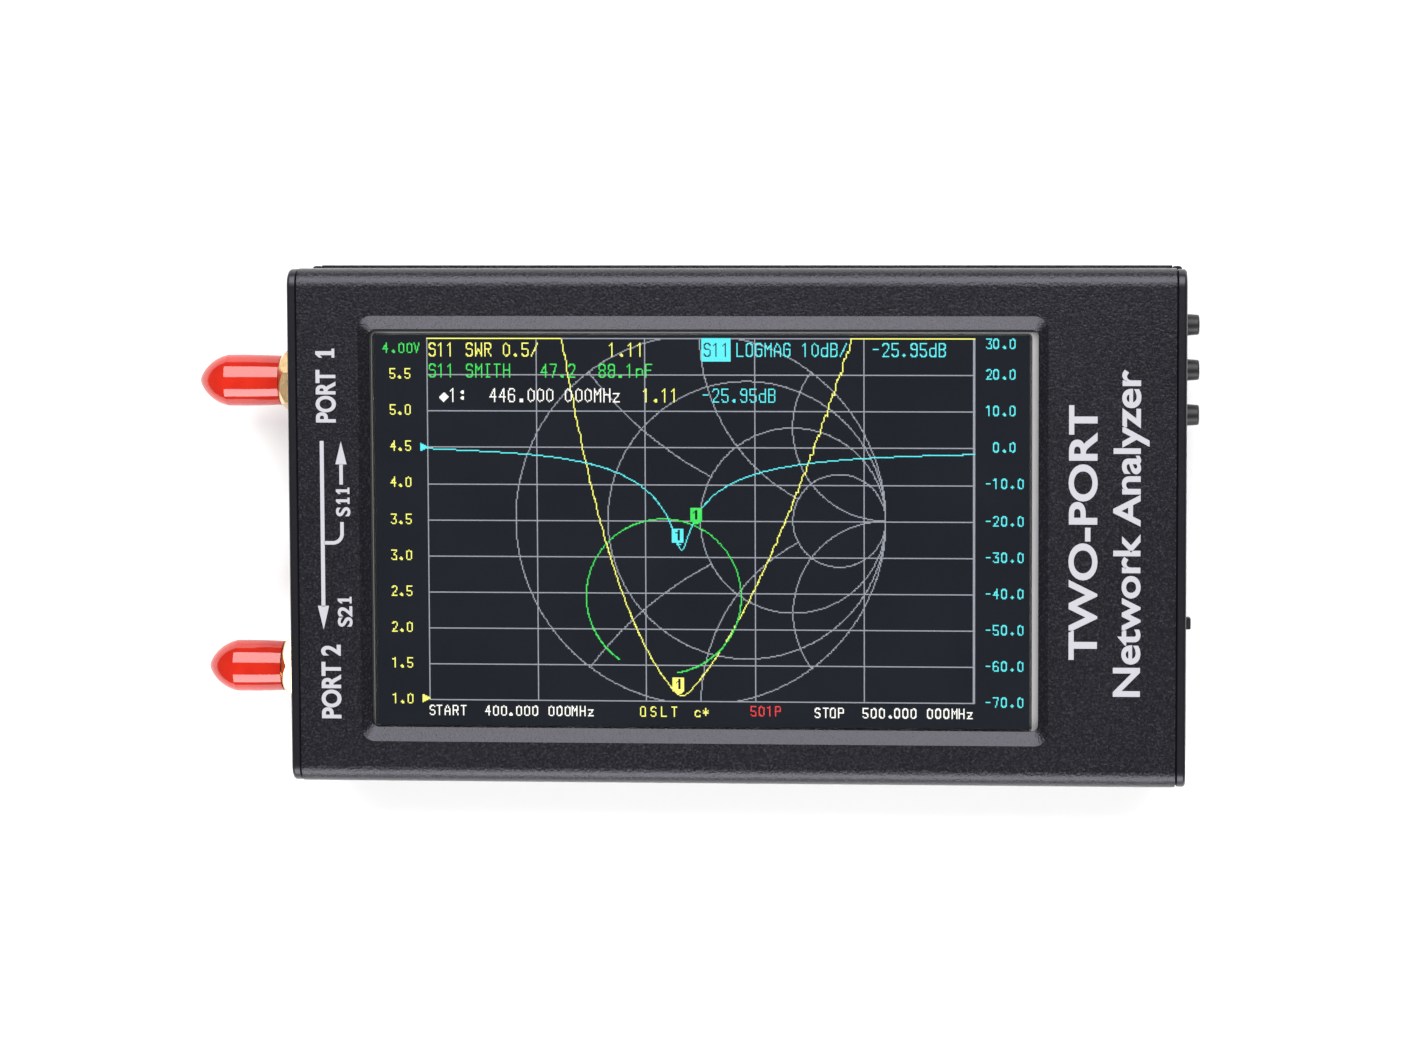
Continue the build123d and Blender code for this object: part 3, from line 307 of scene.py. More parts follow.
def circuit_board():
    """Solder-masked board: copper runs just under the mask, plated through-holes and a woven ground."""
    f = Finish("circuit_board", specular_ior_level=0.5)
    x, y = f.axes()[:2]
    lanes = f.node("ShaderNodeTexBrick", {"offset": 0.37, "squash": 0.6},
                   {"Vector": f.place(), "Scale": 0.45, "Mortar Size": 0.035, "Color1": (1, 1, 1, 1),
                    "Color2": (0, 0, 0, 1), "Mortar": (0.5, 0.5, 0.5, 1)}, out=1)
    weave = (abs((x / 0.45) % 1.0 - 0.5) + abs((y / 0.45) % 1.0 - 0.5)).step(0.2, 0.8)
    vias = f.cells(2.6).below(0.10)
    pads = f.cells(2.6).below(0.055)
    mask = f.mix(lanes, (0.006, 0.030, 0.016), (0.012, 0.058, 0.030))
    mask = f.mix(weave * 0.25, mask, (0.010, 0.040, 0.022))
    ringed = f.mix(vias, mask, (0.62, 0.42, 0.16))
    f.feed(Base_Color=f.mix(pads, ringed, (0.01, 0.01, 0.01)), Metallic=vias * 0.9,
           Roughness=weave * 0.06 + 0.30)
    return f.bump(lanes + vias, 0.03)


def chip_epoxy():
    """Moulded epoxy: nearly black, sand-fine grain, with a faint laser-dulled band."""
    f = Finish("chip_epoxy", specular_ior_level=0.35)
    fine = f.noise(0.08, 3.0, 0.7)
    clouds = f.noise(1.8, 2.0, 0.5)
    f.feed(Base_Color=f.mix(clouds, (0.010, 0.010, 0.011), (0.020, 0.020, 0.022)),
           Roughness=fine * 0.2 + 0.52)
    return f.bump(fine, 0.01)


def shield_tin():
    """Tinned steel cans: long rolling marks, soft dents and duller patches of tin."""
    f = Finish("shield_tin")
    rolled = f.noise(0.3, 4.0, 0.6, f.stretched(0.08, 1.0, 1.0))
    dull = f.noise(4.0, 4.0, 0.6).step(0.4, 0.75)
    f.feed(Base_Color=f.mix(dull, (0.66, 0.66, 0.64), (0.50, 0.50, 0.49)),
           Roughness=rolled * 0.2 + dull * 0.15 + 0.22)
    f.shader.inputs["Metallic"].default_value = 1.0
    return f.bump(rolled + f.noise(5.0) * 4.0, 0.006)


def battery_foil():
    """Aluminium laminate pouch: soft wrinkles, pressed dimples and a satin skin."""
    f = Finish("battery_foil")
    wrinkles = f.noise(6.0, 5.0, 0.55, f.stretched(0.5, 1.0, 1.0))
    f.feed(Base_Color=f.mix(wrinkles.step(0.3, 0.7), (0.60, 0.60, 0.61), (0.46, 0.46, 0.48)),
           Roughness=f.noise(0.5, 3.0, 0.6) * 0.15 + 0.26)
    f.shader.inputs["Metallic"].default_value = 0.9
    return f.bump(wrinkles, 0.25)


def ribbon_film():
    """Amber film with parallel copper tracks seen through it."""
    f = Finish("ribbon_film", specular_ior_level=0.5)
    x = f.axes()[0]
    tracks = abs((x / 0.5) % 1.0 - 0.5).step(0.22, 0.30)
    cloud = f.noise(1.5, 3.0, 0.6)
    base = f.mix(cloud, (0.30, 0.11, 0.02), (0.22, 0.07, 0.012))
    f.feed(Base_Color=f.mix(tracks * 0.8, base, (0.52, 0.27, 0.08)), Roughness=cloud * 0.1 + 0.28)
    return f.bump(tracks, 0.02)


def adhesive_tape():
    """Black foam tape: open little cells and a matt skin."""
    f = Finish("adhesive_tape", specular_ior_level=0.3)
    pores = f.cells(0.35).step(0.1, 0.45)
    f.feed(Base_Color=f.mix(pores, (0.006, 0.006, 0.006), (0.022, 0.022, 0.023)),
           Roughness=pores * 0.1 + 0.8)
    return f.bump(pores, 0.03)


def clear_acrylic(name, tint):
    """Clear moulded acrylic: faint flow lines in its gloss, and tiny dots that turn light out."""
    f = Finish(name, transmission_weight=0.85, ior=1.49, base_color=(*tint, 1.0))
    dots = f.cells(0.7).below(0.2)
    f.feed(Roughness=dots * 0.35 + f.noise(3.0) * 0.06 + 0.03)
    return f


def paint_nodes(makers):
    """Makes each slot's finish once and gives it to the nodes that the record puts in that slot."""
    made = {slot: maker().material for slot, maker in makers.items()}
    for part in frame["record"]["subparts"]:
        give(nodes[part["node"]], made[part["material_slot"]])


def give(thing, material):
    """Makes this the thing's only material."""
    thing.data.materials.clear()
    thing.data.materials.append(material)


finish_makers = {
    "case_coating": case_coating,
    "black_screw": lambda: metal("black_screw", (0.050, 0.050, 0.054), (0.028, 0.028, 0.030), 0.36),
    "screen_glass": cover_glass,
    "light_guide_acrylic": lambda: clear_acrylic("light_guide_acrylic", (0.93, 0.96, 1.0)),
    "grey_frame": grey_frame,
    "steel_tray": lambda: metal("steel_tray", (0.56, 0.56, 0.55), (0.45, 0.45, 0.44), 0.36, (0.05, 1, 1)),
    "black_gasket": adhesive_tape,
    "circuit_board": circuit_board,
    "shield_tin": shield_tin,
    "chip_epoxy": chip_epoxy,
    "oscillator_metal": lambda: metal("oscillator_metal", (0.72, 0.66, 0.52), (0.60, 0.54, 0.42), 0.30),
    "socket_plastic": lambda: plastic("socket_plastic", (0.030, 0.030, 0.032), (0.022, 0.022, 0.024), 0.5),
    "ribbon_film": ribbon_film,
    "gold_plate": gold_plate,
    "white_dielectric": lambda: plastic("white_dielectric", (0.80, 0.79, 0.75), (0.72, 0.71, 0.67), 0.42,
                                        subsurface_weight=0.15, subsurface_scale=0.0008),
    "red_vinyl": red_vinyl,
    "key_plastic": lambda: plastic("key_plastic", (0.012, 0.012, 0.014), (0.008, 0.008, 0.010), 0.42,
                                   grain=0.15, specular_ior_level=0.35),
    "plated_shell": lambda: metal("plated_shell", (0.62, 0.61, 0.58), (0.50, 0.49, 0.46), 0.28, (0.1, 1, 1)),
    "light_body": lambda: plastic("light_body", (0.78, 0.74, 0.52), (0.70, 0.66, 0.44), 0.35),
    "adhesive_tape": adhesive_tape,
    "battery_foil": battery_foil,
    "black_wire": lambda: plastic("black_wire", (0.016, 0.016, 0.017), (0.012, 0.012, 0.013), 0.42),
    "white_plug": lambda: plastic("white_plug", (0.74, 0.73, 0.69), (0.66, 0.65, 0.61), 0.45),
}


paint_nodes(finish_makers)
give(nodes["lcd_panel"], screen_panel().material)
plate_finish = plate_coating().material
for plate in ("left_end_plate", "right_end_plate"):
    give(nodes[plate], plate_finish)


# ---------------------------------------------------------------- making pieces

def add_piece(name, corners, faces, body, material):
    """A mesh piece with its place in its vertices, riding on a CAD body."""
    mesh = bpy.data.meshes.new(name)
    mesh.from_pydata(np.asarray(corners, float).tolist(), [], np.asarray(faces).tolist())
    mesh.update()
    return settle(bpy.data.objects.new(name, mesh), body, material)


def closed(mesh):
    """An object of a closed mesh whose doubles are merged and whose faces point outwards."""
    work = bmesh.new()
    work.from_mesh(mesh)
    bmesh.ops.remove_doubles(work, verts=work.verts, dist=1e-7)
    bmesh.ops.recalc_face_normals(work, faces=work.faces)
    work.to_mesh(mesh)
    work.free()
    return bpy.data.objects.new(mesh.name, mesh)


def settle(piece, body, material):
    """Puts a piece in the scene, on its body, with its finish."""
    bpy.context.scene.collection.objects.link(piece)
    give(piece, material)
    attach(piece, body)
    return piece


# ---------------------------------------------------------------- display picture

glass_low, glass_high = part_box("touch_glass")
panel_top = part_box("lcd_panel")[1].z
dot_columns = int((glass_high.x - glass_low.x) / MM / DOT)
dot_rows = int((glass_high.y - glass_low.y) / MM / DOT)
INKS = ("none", "grey", "yellow", "green", "cyan", "white", "red", "field")
picture = np.zeros((dot_rows, dot_columns), int)

# The grid's left and top edges and its cells, in millimetres from the glass's top left corner.
grid_left, grid_top = 7.94, 0.80
cell_wide, cell_high = 15.90, 5.286
grid_columns, grid_rows = 5, 10
grid_right = grid_left + grid_columns * cell_wide
grid_bottom = grid_top + grid_rows * cell_high

# Letter sizes in dots: reach of the strokes across and up, and the pitch from one letter to the next.
LARGE = (5, 11, 8.0)
SMALL = (4, 8, 6.88)

# Strokes of the display's letters on a grid 4 wide and 6 high: lines part at |, points at spaces.
LETTERS = {
    "0": "20 41 45 26 05 01 20", "1": "05 26 20", "2": "05 16 36 45 44 00 40",
    "3": "06 46 23 33 42 41 30 10 01", "4": "30 36 02 42", "5": "46 06 03 33 42 41 30 10 01",
    "6": "45 36 16 05 01 10 30 41 42 33 03", "7": "06 46 20",
    "8": "13 04 05 16 36 45 44 33 13 02 01 10 30 41 42 33",
    "9": "01 10 30 41 45 36 16 05 04 13 43", "-": "03 33",
    "/": "00 46", "*": "21 25|02 44|04 42", "S": "45 36 16 05 04 13 33 42 41 30 10 01",
    "W": "06 00 23 40 46", "R": "00 06 36 45 44 33 03|23 40", "M": "00 06 23 46 40",
    "I": "10 30|20 26|16 36", "T": "06 46|26 20", "H": "00 06|40 46|03 43", "F": "00 06 46|03 33",
    "p": "04 00|03 14 34 43 42 31 11", "z": "04 44 00 40", "d": "40 46|43 34 14 03 01 10 30 41",
    "B": "00 06 36 45 44 33 03|33 42 41 30 00", "L": "06 00 40", "O": "01 05 16 36 45 41 30 10 01",
    "G": "45 36 16 05 01 10 30 41 43 23", "A": "00 04 26 44 40|02 42", "P": "00 06 36 45 44 33 03",
    "V": "06 20 46", "c": "43 34 14 03 01 10 30 41",
}

# Where the points of a full stop and a colon stand, as shares of a letter's height.
POINTS = {".": (0.0,), ":": (0.15, 0.65)}


def light(across, down, ink):
    """Lights the dots under points given in millimetres from the glass's top left corner."""
    column = np.floor(np.asarray(across) / DOT).astype(int)
    row = np.floor(np.asarray(down) / DOT).astype(int)
    inside = (row >= 0) & (row < dot_rows) & (column >= 0) & (column < dot_columns)
    picture[row[inside], column[inside]] = INKS.index(ink)


def line(points, ink):
    """Lights straight runs between points, one dot for each step along the longer way."""
    points = np.asarray(points, float)
    for start, end in zip(points[:-1], points[1:]):
        share = np.linspace(0, 1, int(np.ceil(np.abs(end - start).max() / DOT)) + 1)
        light(start[0] + (end[0] - start[0]) * share, start[1] + (end[1] - start[1]) * share, ink)


def write(text, left, middle, ink, size=LARGE):
    """Draws monospaced letters on whole dots, with their middle height at middle."""
    wide, tall, pitch = size
    foot = round(middle / DOT + tall / 2) - 0.5
    for place, letter in enumerate(text):
        first = round(left / DOT + place * pitch) + 0.5
        for stroke in LETTERS.get(letter, "").split("|"):
            line([((first + round(int(p[0]) * wide / 4)) * DOT, (foot - round(int(p[1]) * tall / 6)) * DOT)
                  for p in stroke.split()], ink)
        for height in POINTS.get(letter, ()):
            diamond((first + wide // 2) * DOT, (foot - round(height * tall) - 1) * DOT, DOT, ink)


def diamond(across, down, reach, ink):
    """Lights the dots whose steps across and down from the middle add up to no more than reach."""
    steps = np.mgrid[-reach:reach + DOT / 4:DOT / 2, -reach:reach + DOT / 4:DOT / 2].reshape(2, -1)
    kept = np.abs(steps).sum(0) <= reach + DOT / 4
    light(across + steps[1][kept], down + steps[0][kept], ink)


def block(left, top, right, bottom, ink):
    """Lights a whole rectangle."""
    down, across = np.mgrid[top:bottom:DOT / 2, left:right:DOT / 2]
    light(across.ravel(), down.ravel(), ink)


def arc(middle, radius, ink, kept):
    """Lights a circle, one dot for each step along it, where kept says that it is drawn."""
    turn = np.linspace(0, 2 * np.pi, int(2 * np.pi * radius / DOT))
    across, down = middle[0] + radius * np.cos(turn), middle[1] + radius * np.sin(turn)
    kept = kept(across, down) & (down > grid_top) & (down < grid_bottom)
    light(across[kept], down[kept], ink)


def draw_grid():
    """Ten rows by five columns of thin grey lines, with a thicker line down the right."""
    for i in range(grid_columns + 1):
        across = grid_left + i * cell_wide
        line([(across, grid_top), (across, grid_bottom)], "grey")
    line([(grid_right - DOT, grid_top), (grid_right - DOT, grid_bottom)], "grey")
    for j in range(grid_rows + 1):
        down = grid_top + j * cell_high
        line([(grid_left, down), (grid_right, down)], "grey")


chart_middle = (47.69, 27.16)
chart_radius = 26.94
chart_right = chart_middle[0] + chart_radius


def inside_circle(across, down, middle, radius):
    """Where points lie inside a circle."""
    return np.hypot(across - middle[0], down - middle[1]) <= radius + DOT / 4


def draw_chart():
    """An impedance chart. Circles of equal resistance touch its right end, and arcs of equal reactance
    run in from its rim, each as far as the circle of the resistance that ends it."""
    def within(across, down):
        return inside_circle(across, down, chart_middle, chart_radius)

    def resistance_circle(resistance):
        radius = chart_radius / (1 + resistance)
        return (chart_right - radius, chart_middle[1]), radius

    for resistance in (0, 1 / 3, 1, 3):
        middle, radius = resistance_circle(resistance)
        arc(middle, radius, "grey", within)
    for reactance, last in ((0.5, 1), (1, 3), (2, None)):
        radius = chart_radius / reactance
        for way in (-1, 1):
            def drawn(across, down):
                if last is None:
                    return within(across, down)
                return within(across, down) & ~inside_circle(across, down, *resistance_circle(last))
            arc((chart_right, chart_middle[1] + way * radius), radius, "grey", drawn)


start_mhz, stop_mhz, marker_mhz = 400.0, 500.0, 446.0
sweep = np.linspace(start_mhz, stop_mhz, 501)


def reflection(mhz):
    """Reflection of the antenna under test: a point that runs round a circle set off from the middle.
    Its turn in degrees is 90 - 2 atan((f - resonance) / half_width) - delay (f - resonance): the swing
    of one resonance, and the steady delay of a short feed line."""
    resonance, half_width, delay = 441.7, 24.0, 0.6
    middle, radius = complex(-0.2, -0.4135), 0.42
    off = mhz - resonance
    turn = np.radians(90 - delay * off) - 2 * np.arctan(off / half_width)
    return middle + radius * np.exp(1j * turn)


def sweep_across(mhz):
    """Where a frequency lies along the grid."""
    return grid_left + (grid_right - grid_left) * (mhz - start_mhz) / (stop_mhz - start_mhz)


def decibels(mhz):
    """Twenty times the logarithm of the reflection's size, lifted a little at the low end."""
    return 20 * np.log10(np.abs(reflection(mhz))) + 0.9 * np.exp(-(mhz - start_mhz) / 12)


def loss_down(mhz):
    """Ten decibels to a row, with none at the fourth line from the top."""
    return grid_top + cell_high * (3 - decibels(mhz) / 10)


def ratio_down(mhz):
    """Standing-wave ratio, half a unit to a row from the bottom line, held at the top line.
    High ratios carry a little hash from noise: a product of two sines."""
    size = 10 ** (decibels(mhz) / 20)
    ratio = (1 + size) / (1 - size)
    hash_ = 0.02 * (ratio - 2) * np.sin(mhz * 7.1) * np.sin(mhz * 2.3) * (ratio > 2)
    return np.maximum(grid_bottom - cell_high * (ratio + hash_ - 1) / 0.5, grid_top)


def marker(across, down, ink):
    """A small numbered flag that stands on a point of a trace: its cloth, its narrowing foot and a one."""
    block(across - 0.85, down - 2.45, across + 0.75, down - 0.55, ink)
    line([(across - 0.5, down - 0.45), (across + 0.5, down - 0.45)], ink)
    line([(across - 0.3, down - 0.25), (across + 0.3, down - 0.25)], ink)
    line([(across - 0.4, down - 1.8), (across, down - 2.1)], "field")
    block(across - 0.05, down - 2.2, across + 0.2, down - 0.9, "field")


def draw_traces():
    """Loss in cyan, ratio in yellow and the chart's locus in green, each with its marker flag."""
    across = sweep_across(sweep)
    locus = reflection(sweep)
    line(np.stack([across, ratio_down(sweep)], 1), "yellow")
    line(np.stack([chart_middle[0] + chart_radius * locus.real,
                   chart_middle[1] - chart_radius * locus.imag], 1), "green")
    line(np.stack([across, loss_down(sweep)], 1), "cyan")
    here = sweep_across(marker_mhz)
    at = reflection(marker_mhz)
    marker(chart_middle[0] + chart_radius * at.real + 0.4,
           chart_middle[1] - chart_radius * at.imag, "green")
    marker(here, loss_down(marker_mhz), "cyan")
    marker(here, ratio_down(marker_mhz), "yellow")
    for down, ink in ((grid_top + 3 * cell_high, "cyan"), (grid_bottom - 0.2, "yellow")):
        for back in np.arange(0.0, 1.1, DOT):
            line([(grid_left - back, down - back / 2), (grid_left - back, down + back / 2)], ink)


def draw_readouts():
    """Scale numbers down both sides, and the lines of settings and readings at top and bottom."""
    for j in range(grid_rows):
        write(f"{5.5 - j * 0.5:.1f}", 2.3, grid_top + (j + 1) * cell_high - 0.1, "yellow", SMALL)
    for j in range(grid_rows + 1):
        down = grid_top + j * cell_high - 0.1 + (0.75 if j == 0 else 0)
        write(f"{30.0 - j * 10:.1f}".rjust(4), 89.0, down, "cyan", SMALL)
    write("4.00V", 1.35, 2.2, "green", SMALL)
    write("S11 SWR 0.5/", 8.2, 2.45, "yellow")
    write("1.11", 34.5, 2.45, "yellow")
    write("S11 SMITH", 8.2, 5.45, "green")
    write("47.2", 24.5, 5.45, "green")
    write("88.1pF", 32.9, 5.45, "green")
    write("1:", 11.2, 9.15, "white")
    write("446.000 000MHz", 17.0, 9.15, "white", (5, 11, 8.18))
    diamond(10.3, 9.3, 0.6, "white")
    write("1.11", 39.5, 9.15, "yellow")
    write("-25.95dB", 48.1, 9.15, "cyan")
    block(48.0, 0.85, 52.2, 3.95, "cyan")
    write("S11", 48.2, 2.45, "field")
    write("LOGMAG 10dB/", 53.1, 2.45, "cyan")
    write("-25.95dB", 72.8, 2.45, "cyan")
    write("START  400.000 000MHz", 7.75, 55.3, "white", SMALL)
    write("OSLT", 38.7, 55.3, "yellow", (4, 8, 9.06))
    write("c*", 46.7, 55.3, "yellow", SMALL)
    write("501P", 54.9, 55.1, "red", SMALL)
    write("STOP  500.000 000MHz", 64.2, 55.3, "white", SMALL)


def picture_pieces():
    """One piece per colour: every run of dots of that colour in a row is one flat rectangle."""
    tones = {"grey": (0.235, 0.25, 0.29), "yellow": (0.84, 0.84, 0.14), "green": (0.022, 0.62, 0.07),
             "cyan": (0.07, 0.68, 0.72), "white": (0.88, 0.88, 0.82), "red": (0.66, 0.022, 0.026)}
    lift = 0.03 * MM
    level = panel_top + lift
    for ink, tone in tones.items():
        lit = np.pad(picture == INKS.index(ink), ((0, 0), (1, 1)))
        edges = np.diff(lit.astype(int), axis=1)
        row, first = np.nonzero(edges == 1)
        last = np.nonzero(edges == -1)[1]
        left, right = glass_low.x + first * DOT * MM, glass_low.x + last * DOT * MM
        top, bottom = glass_high.y - row * DOT * MM, glass_high.y - (row + 1) * DOT * MM
        height = np.full(len(row), level)
        corners = np.stack([np.stack([left, bottom, height], 1), np.stack([right, bottom, height], 1),
                            np.stack([right, top, height], 1), np.stack([left, top, height], 1)], 1)
        faces = np.arange(len(row) * 4).reshape(-1, 4)
        add_piece("display_" + ink, corners.reshape(-1, 3), faces, "case",
                  lit_dots("display_" + ink, tone).material)


draw_grid()
draw_chart()
draw_traces()
draw_readouts()
picture_pieces()


# ---------------------------------------------------------------- test ports

# A test port's thread, and how far it takes to reach its full depth. Then the mouth and its chamfer.
THREAD_PITCH = 0.7056 * MM
THREAD_DEPTH = 0.42 * MM
THREAD_FADE = 1.1 * MM
MOUTH_RADIUS = 2.35 * MM
MOUTH_CHAMFER = 0.3 * MM

# The square legs behind a port's flange: their width, and how far their middles stand from the axis.
LEG_WIDTH = 1.0 * MM
LEG_REACH = 2.6 * MM


def threaded_port(number):
    """A test port's body with a real thread. One surface of rings about the port's axis runs up the barrel
    from its mouth, over the square flange inside the case and back through the bore.
    The barrel's radius is R - depth * V(x / pitch - turn / 2 pi), where V is a triangle wave whose crest
    and root are cut flat, and it fades in at the mouth. Four square legs stand behind the flange."""
    low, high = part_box(f"port_{number}_body")
    inner_low, inner_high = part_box(f"port_{number}_dielectric")
    plate_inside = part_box("left_end_plate")[1].x
    board_low, board_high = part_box("main_board")
    middle = np.array([(low.y + high.y) / 2, (inner_low.z + inner_high.z) / 2])
    outer, bore = (high.y - low.y) / 2, (inner_high.y - inner_low.y) / 2
    turn = np.linspace(0, 2 * np.pi, 97)[:-1]
    along = np.linspace(low.x + MOUTH_CHAMFER, plate_inside, 221)
    wave = np.abs((along[:, None] / THREAD_PITCH - turn / (2 * np.pi)) % 1.0 - 0.5) * 2
    depth = np.clip(wave * 1.3 - 0.15, 0, 1) * THREAD_DEPTH
    fade = np.clip((along - low.x) / THREAD_FADE, 0, 1)[:, None]
    barrel = outer - depth * fade
    square = outer / np.maximum(np.abs(np.cos(turn)), np.abs(np.sin(turn)))
    flange_back = inner_high.x
    ring = np.ones(len(turn))
    stations = [(low.x, MOUTH_RADIUS * ring), (low.x, (outer - THREAD_DEPTH) * ring), *zip(along, barrel),
                (plate_inside, square), (flange_back, square), (flange_back, bore * ring),
                (inner_low.x, bore * ring), (inner_low.x, MOUTH_RADIUS * ring)]
    where = np.array([x for x, radius in stations])
    radius = np.array([radius for x, radius in stations])
    corners = np.stack([np.broadcast_to(where[:, None], radius.shape),
                        middle[0] + radius * np.cos(turn), middle[1] + radius * np.sin(turn)], 2)
    here = np.arange(radius.size).reshape(radius.shape)
    after, beside = np.roll(here, -1, 0), np.roll(here, -1, 1)
    faces = np.stack([here, after, np.roll(after, -1, 1), beside], 2).reshape(-1, 4)
    leg = np.array([(x, y, z) for x in (0, 1) for y in (0, 1) for z in (0, 1)], float)
    walls = np.array([(0, 1, 3, 2), (4, 6, 7, 5), (0, 4, 5, 1), (2, 3, 7, 6), (0, 2, 6, 4), (1, 5, 7, 3)])
    points, quads = [corners.reshape(-1, 3)], [faces]
    for side in (-1, 1):
        for foot in (board_low.z - LEG_WIDTH, board_high.z):
            start = np.array([flange_back, middle[0] + side * LEG_REACH - LEG_WIDTH / 2, foot])
            quads.append(walls + sum(len(p) for p in points))
            points.append(start + leg * [high.x - flange_back, LEG_WIDTH, LEG_WIDTH])
    name = f"port_{number}_threaded_body"
    mesh = bpy.data.meshes.new(name)
    mesh.from_pydata(np.vstack(points).tolist(), [], np.vstack(quads).tolist())
    finish = nodes[f"port_{number}_body"].data.materials[0]
    piece = settle(closed(mesh), "case", finish)
    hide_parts(f"port_{number}_body")


for number in (1, 2):
    threaded_port(number)


# ---------------------------------------------------------------- face print

# The ink's thickness in millimetres, and a capital's height as a share of the lettering's size.
FILM = 0.012
CAPITAL = 0.715
face_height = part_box("front_shell")[1].z
ink_white = print_ink().material


def printed(name, text, cap, length, foot, middle, bold):
    """Lettering that reads up the case, as a thin film on the face. It is set out flat and made a mesh,
    scaled to its height and length, then turned a quarter turn. Its feet stand at foot along X."""
    curve = bpy.data.curves.new(name, "FONT")
    curve.body = text
    curve.size = cap / CAPITAL * MM
    curve.offset = bold * MM
    curve.extrude = FILM / 2 * MM
    curve.resolution_u = 6
    shape = bpy.data.objects.new(name, curve)
    mesh = bpy.data.meshes.new_from_object(shape)
    mesh.name = name
    flat = np.zeros(len(mesh.vertices) * 3, np.float32)
    mesh.vertices.foreach_get("co", flat)
    flat = flat.reshape(-1, 3)
    low, high = flat[:, 0].min(), flat[:, 0].max()
    along = (flat[:, 0] - (low + high) / 2) * length * MM / (high - low)
    placed = np.stack([foot * MM - flat[:, 1], middle * MM + along,
                       face_height + FILM / 2 * MM + flat[:, 2]], 1)
    mesh.vertices.foreach_set("co", placed.astype(np.float32).ravel())
    mesh.update()
    bpy.data.objects.remove(shape)
    return settle(closed(mesh), "case", ink_white)


def prism(name, outline):
    """A thin film with a closed outline: the same ring of points below and above, with walls between."""
    outline = np.asarray(outline, float) * MM
    count = len(outline)
    low = np.column_stack([outline, np.full(count, face_height)])
    high = np.column_stack([outline, np.full(count, face_height + FILM * MM)])
    here = np.arange(count)
    after = (here + 1) % count
    walls = np.stack([here, after, after + count, here + count], 1).tolist()
    faces = walls + [here.tolist(), (here + count).tolist()]
    mesh = bpy.data.meshes.new(name)
    mesh.from_pydata(np.vstack([low, high]).tolist(), [], faces)
    return settle(closed(mesh), "case", ink_white)


def ribbon(name, points, width):
    """A flat printed line: every point of the path is set off by half the width to each side of it."""
    points = np.asarray(points, float)
    way = np.gradient(points, axis=0)
    way /= np.linalg.norm(way, axis=1, keepdims=True)
    side = np.stack([-way[:, 1], way[:, 0]], 1) * width / 2
    return prism(name, np.vstack([points + side, (points - side)[::-1]]))


def arrow_head(name, tip, back, width):
    """A filled triangle from the middle of its back to its point."""
    tip, back = np.array(tip, float), np.array(back, float)
    way = (tip - back) / np.linalg.norm(tip - back)
    side = np.array([-way[1], way[0]]) * width / 2
    return prism(name, [back + side, tip, back - side])


def figure_one(name, foot, middle, cap):
    """A figure one with a flag and a foot, reading up the case."""
    stem, wide, sole = 0.105 * cap, 0.235 * cap, 0.15 * cap
    letter = np.array([(-wide, 0), (wide, 0), (wide, sole), (stem, sole), (stem, cap), (-stem * 0.6, cap),
                       (-wide, 0.80 * cap), (-wide, 0.63 * cap), (-stem, 0.76 * cap), (-stem, sole),
                       (-wide, sole)])
    return prism(name, np.column_stack([foot - letter[:, 1], middle + letter[:, 0]]))


def face_print():
    """Port names, the two signal arrows and what each carries, and the instrument's plain description."""
    printed("print_port_1", "PORT", 2.8, 7.65, -58.0, 19.05, 0.12)
    figure_one("print_port_1_figure", -58.0, 25.3, 2.8)
    printed("print_port_2", "PORT 2", 2.75, 10.8, -57.65, -22.6, 0.12)
    printed("print_s11", "S", 2.0, 1.35, -56.0, 2.25, 0.08)
    figure_one("print_s11_figure_1", -56.0, 3.85, 2.0)
    figure_one("print_s11_figure_2", -56.0, 5.3, 2.0)
    printed("print_s21", "S2", 2.05, 3.0, -55.85, -13.05, 0.08)
    figure_one("print_s21_figure", -55.85, -10.65, 2.05)
    printed("print_two_port", "TWO-PORT", 4.0, 36.7, 52.1, -0.35, 0.13)
    printed("print_description", "Network Analyzer", 3.85, 47.1, 58.3, -0.45, 0.11)
    ribbon("print_line_through", np.array([[-60.0, 12.55], [-60.0, -11.6]]), 0.58)
    arrow_head("print_head_through", (-60.0, -15.0), (-60.0, -11.5), 1.65)
    bend = np.linspace(0, np.pi / 2, 12)
    curve = np.column_stack([-58.5 + 1.35 * np.sin(bend), -0.95 - 1.35 * np.cos(bend)])
    ribbon("print_line_back", np.vstack([[[-59.75, -2.3]], curve, [[-57.15, 0.75]]]), 0.52)
    ribbon("print_line_up", np.array([[-57.2, 6.2], [-57.2, 9.2]]), 0.52)
    arrow_head("print_head_up", (-57.2, 12.5), (-57.2, 9.15), 1.65)


face_print()


# ---------------------------------------------------------------- studio

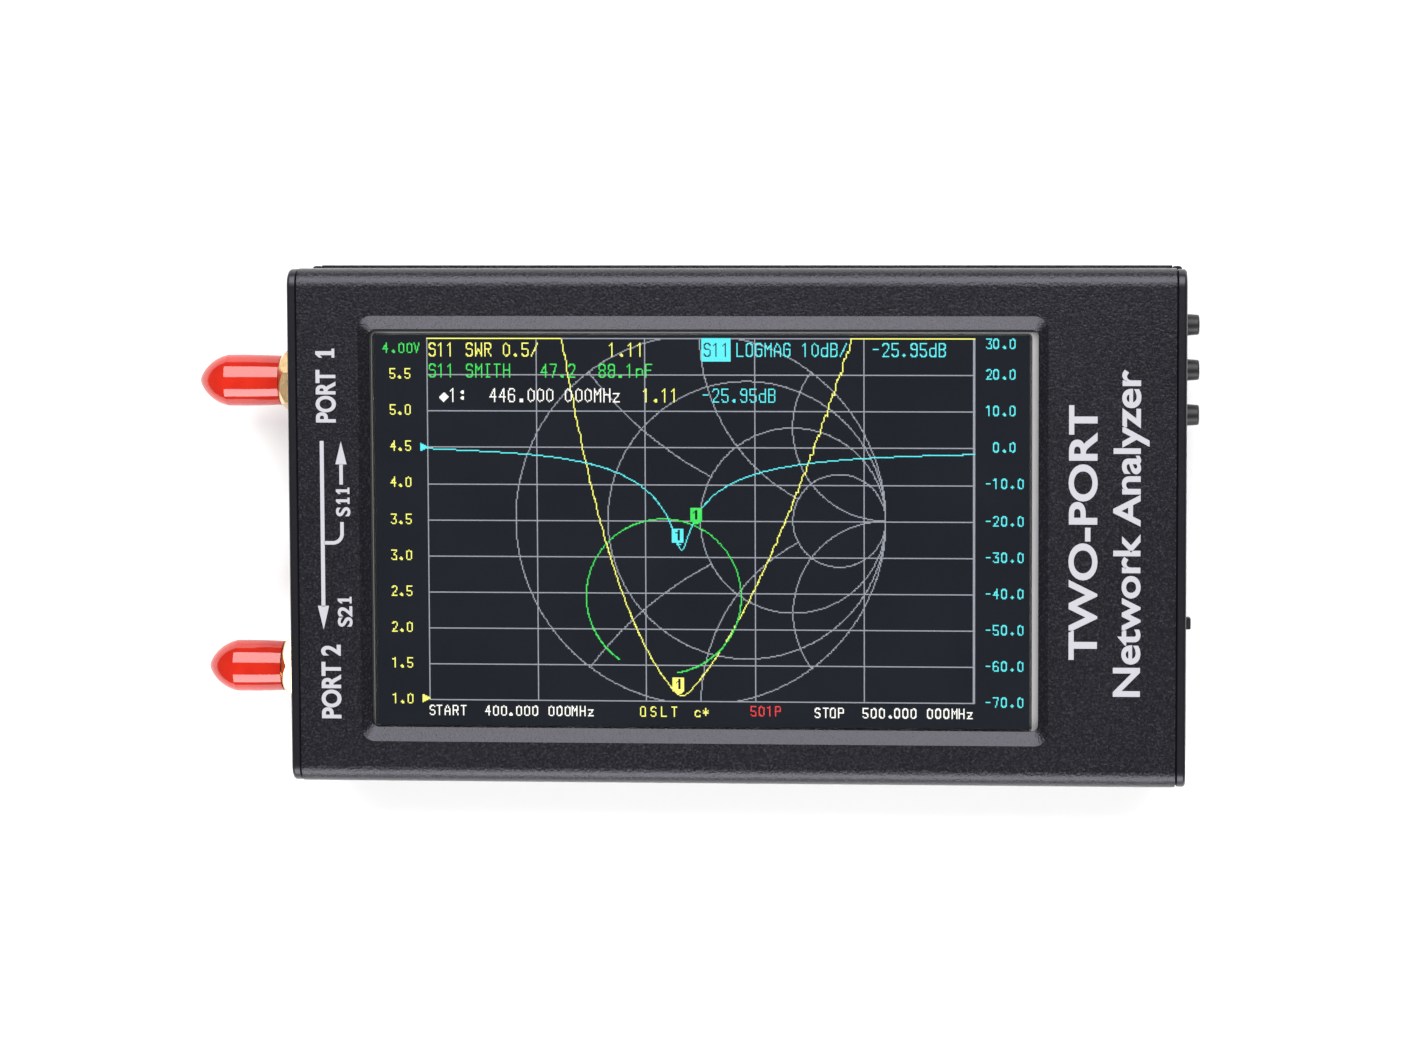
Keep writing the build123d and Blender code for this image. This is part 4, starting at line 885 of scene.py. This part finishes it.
def bright_softbox(name, lean, spread, distance, power, length):
    """A wide softbox that leans from straight up towards +Y by an angle, lit side to the object.
    Its width covers the angle either side of its middle, seen from the object."""
    lamp = bpy.data.lights.new(name, "AREA")
    lamp.shape = "RECTANGLE"
    lamp.size = length
    lamp.size_y = 2 * distance * math.tan(math.radians(spread))
    lamp.energy = power
    stand = bpy.data.objects.new(name, lamp)
    angle = math.radians(lean)
    stand.location = (0.0, distance * math.sin(angle), distance * math.cos(angle))
    stand.rotation_euler = Euler((-angle, 0.0, 0.0))
    bpy.context.scene.collection.objects.link(stand)


def pale_floor():
    """A wide sheet of pale paper under the case, a hair below its back face."""
    half = 1.6
    level = cad_low.z - 0.05 * MM
    mesh = bpy.data.meshes.new("floor")
    corners = [(-half, -half, level), (half, -half, level), (half, half, level), (-half, half, level)]
    mesh.from_pydata(corners, [], [(0, 1, 2, 3)])
    floor = bpy.data.objects.new("floor", mesh)
    bpy.context.scene.collection.objects.link(floor)
    f = Finish("pale_paper", specular_ior_level=0.1)
    f.feed(Base_Color=f.mix(f.noise(60.0, 3.0, 0.5), (0.86, 0.86, 0.86), (0.90, 0.90, 0.90)),
           Roughness=f.noise(4.0) * 0.1 + 0.85)
    give(floor, f.material)


def soft_daylight(strength):
    """An even pale surround."""
    world = bpy.data.worlds.new("surround")
    world.use_nodes = True
    ground = world.node_tree.nodes["Background"]
    ground.inputs["Color"].default_value = (1.0, 1.0, 1.0, 1.0)
    ground.inputs["Strength"].default_value = strength
    bpy.context.scene.world = world


def camera():
    """A long lens almost straight above the case, aimed a little to one side and shifted back."""
    data = bpy.data.cameras.new("camera")
    data.lens, data.sensor_width = 86.75, 36.0
    data.shift_x = data.shift_y = -0.1
    data.clip_start = 0.01
    viewer = bpy.data.objects.new("camera", data)
    viewer.location = (43.46 * MM, 51.21 * MM, 504.98 * MM)
    viewer.rotation_mode = "ZYX"
    viewer.rotation_euler = (-0.0628, 0.0579, 0.0020)
    bpy.context.scene.collection.objects.link(viewer)
    bpy.context.scene.camera = viewer


pale_floor()
soft_daylight(0.25)
bright_softbox("softbox_far", 42.0, 24.0, 0.75, 12.1, 0.9)
bright_softbox("softbox_near", -55.0, 19.0, 0.75, 10.0, 0.9)
camera()
bpy.context.scene.view_settings.view_transform = "Standard"
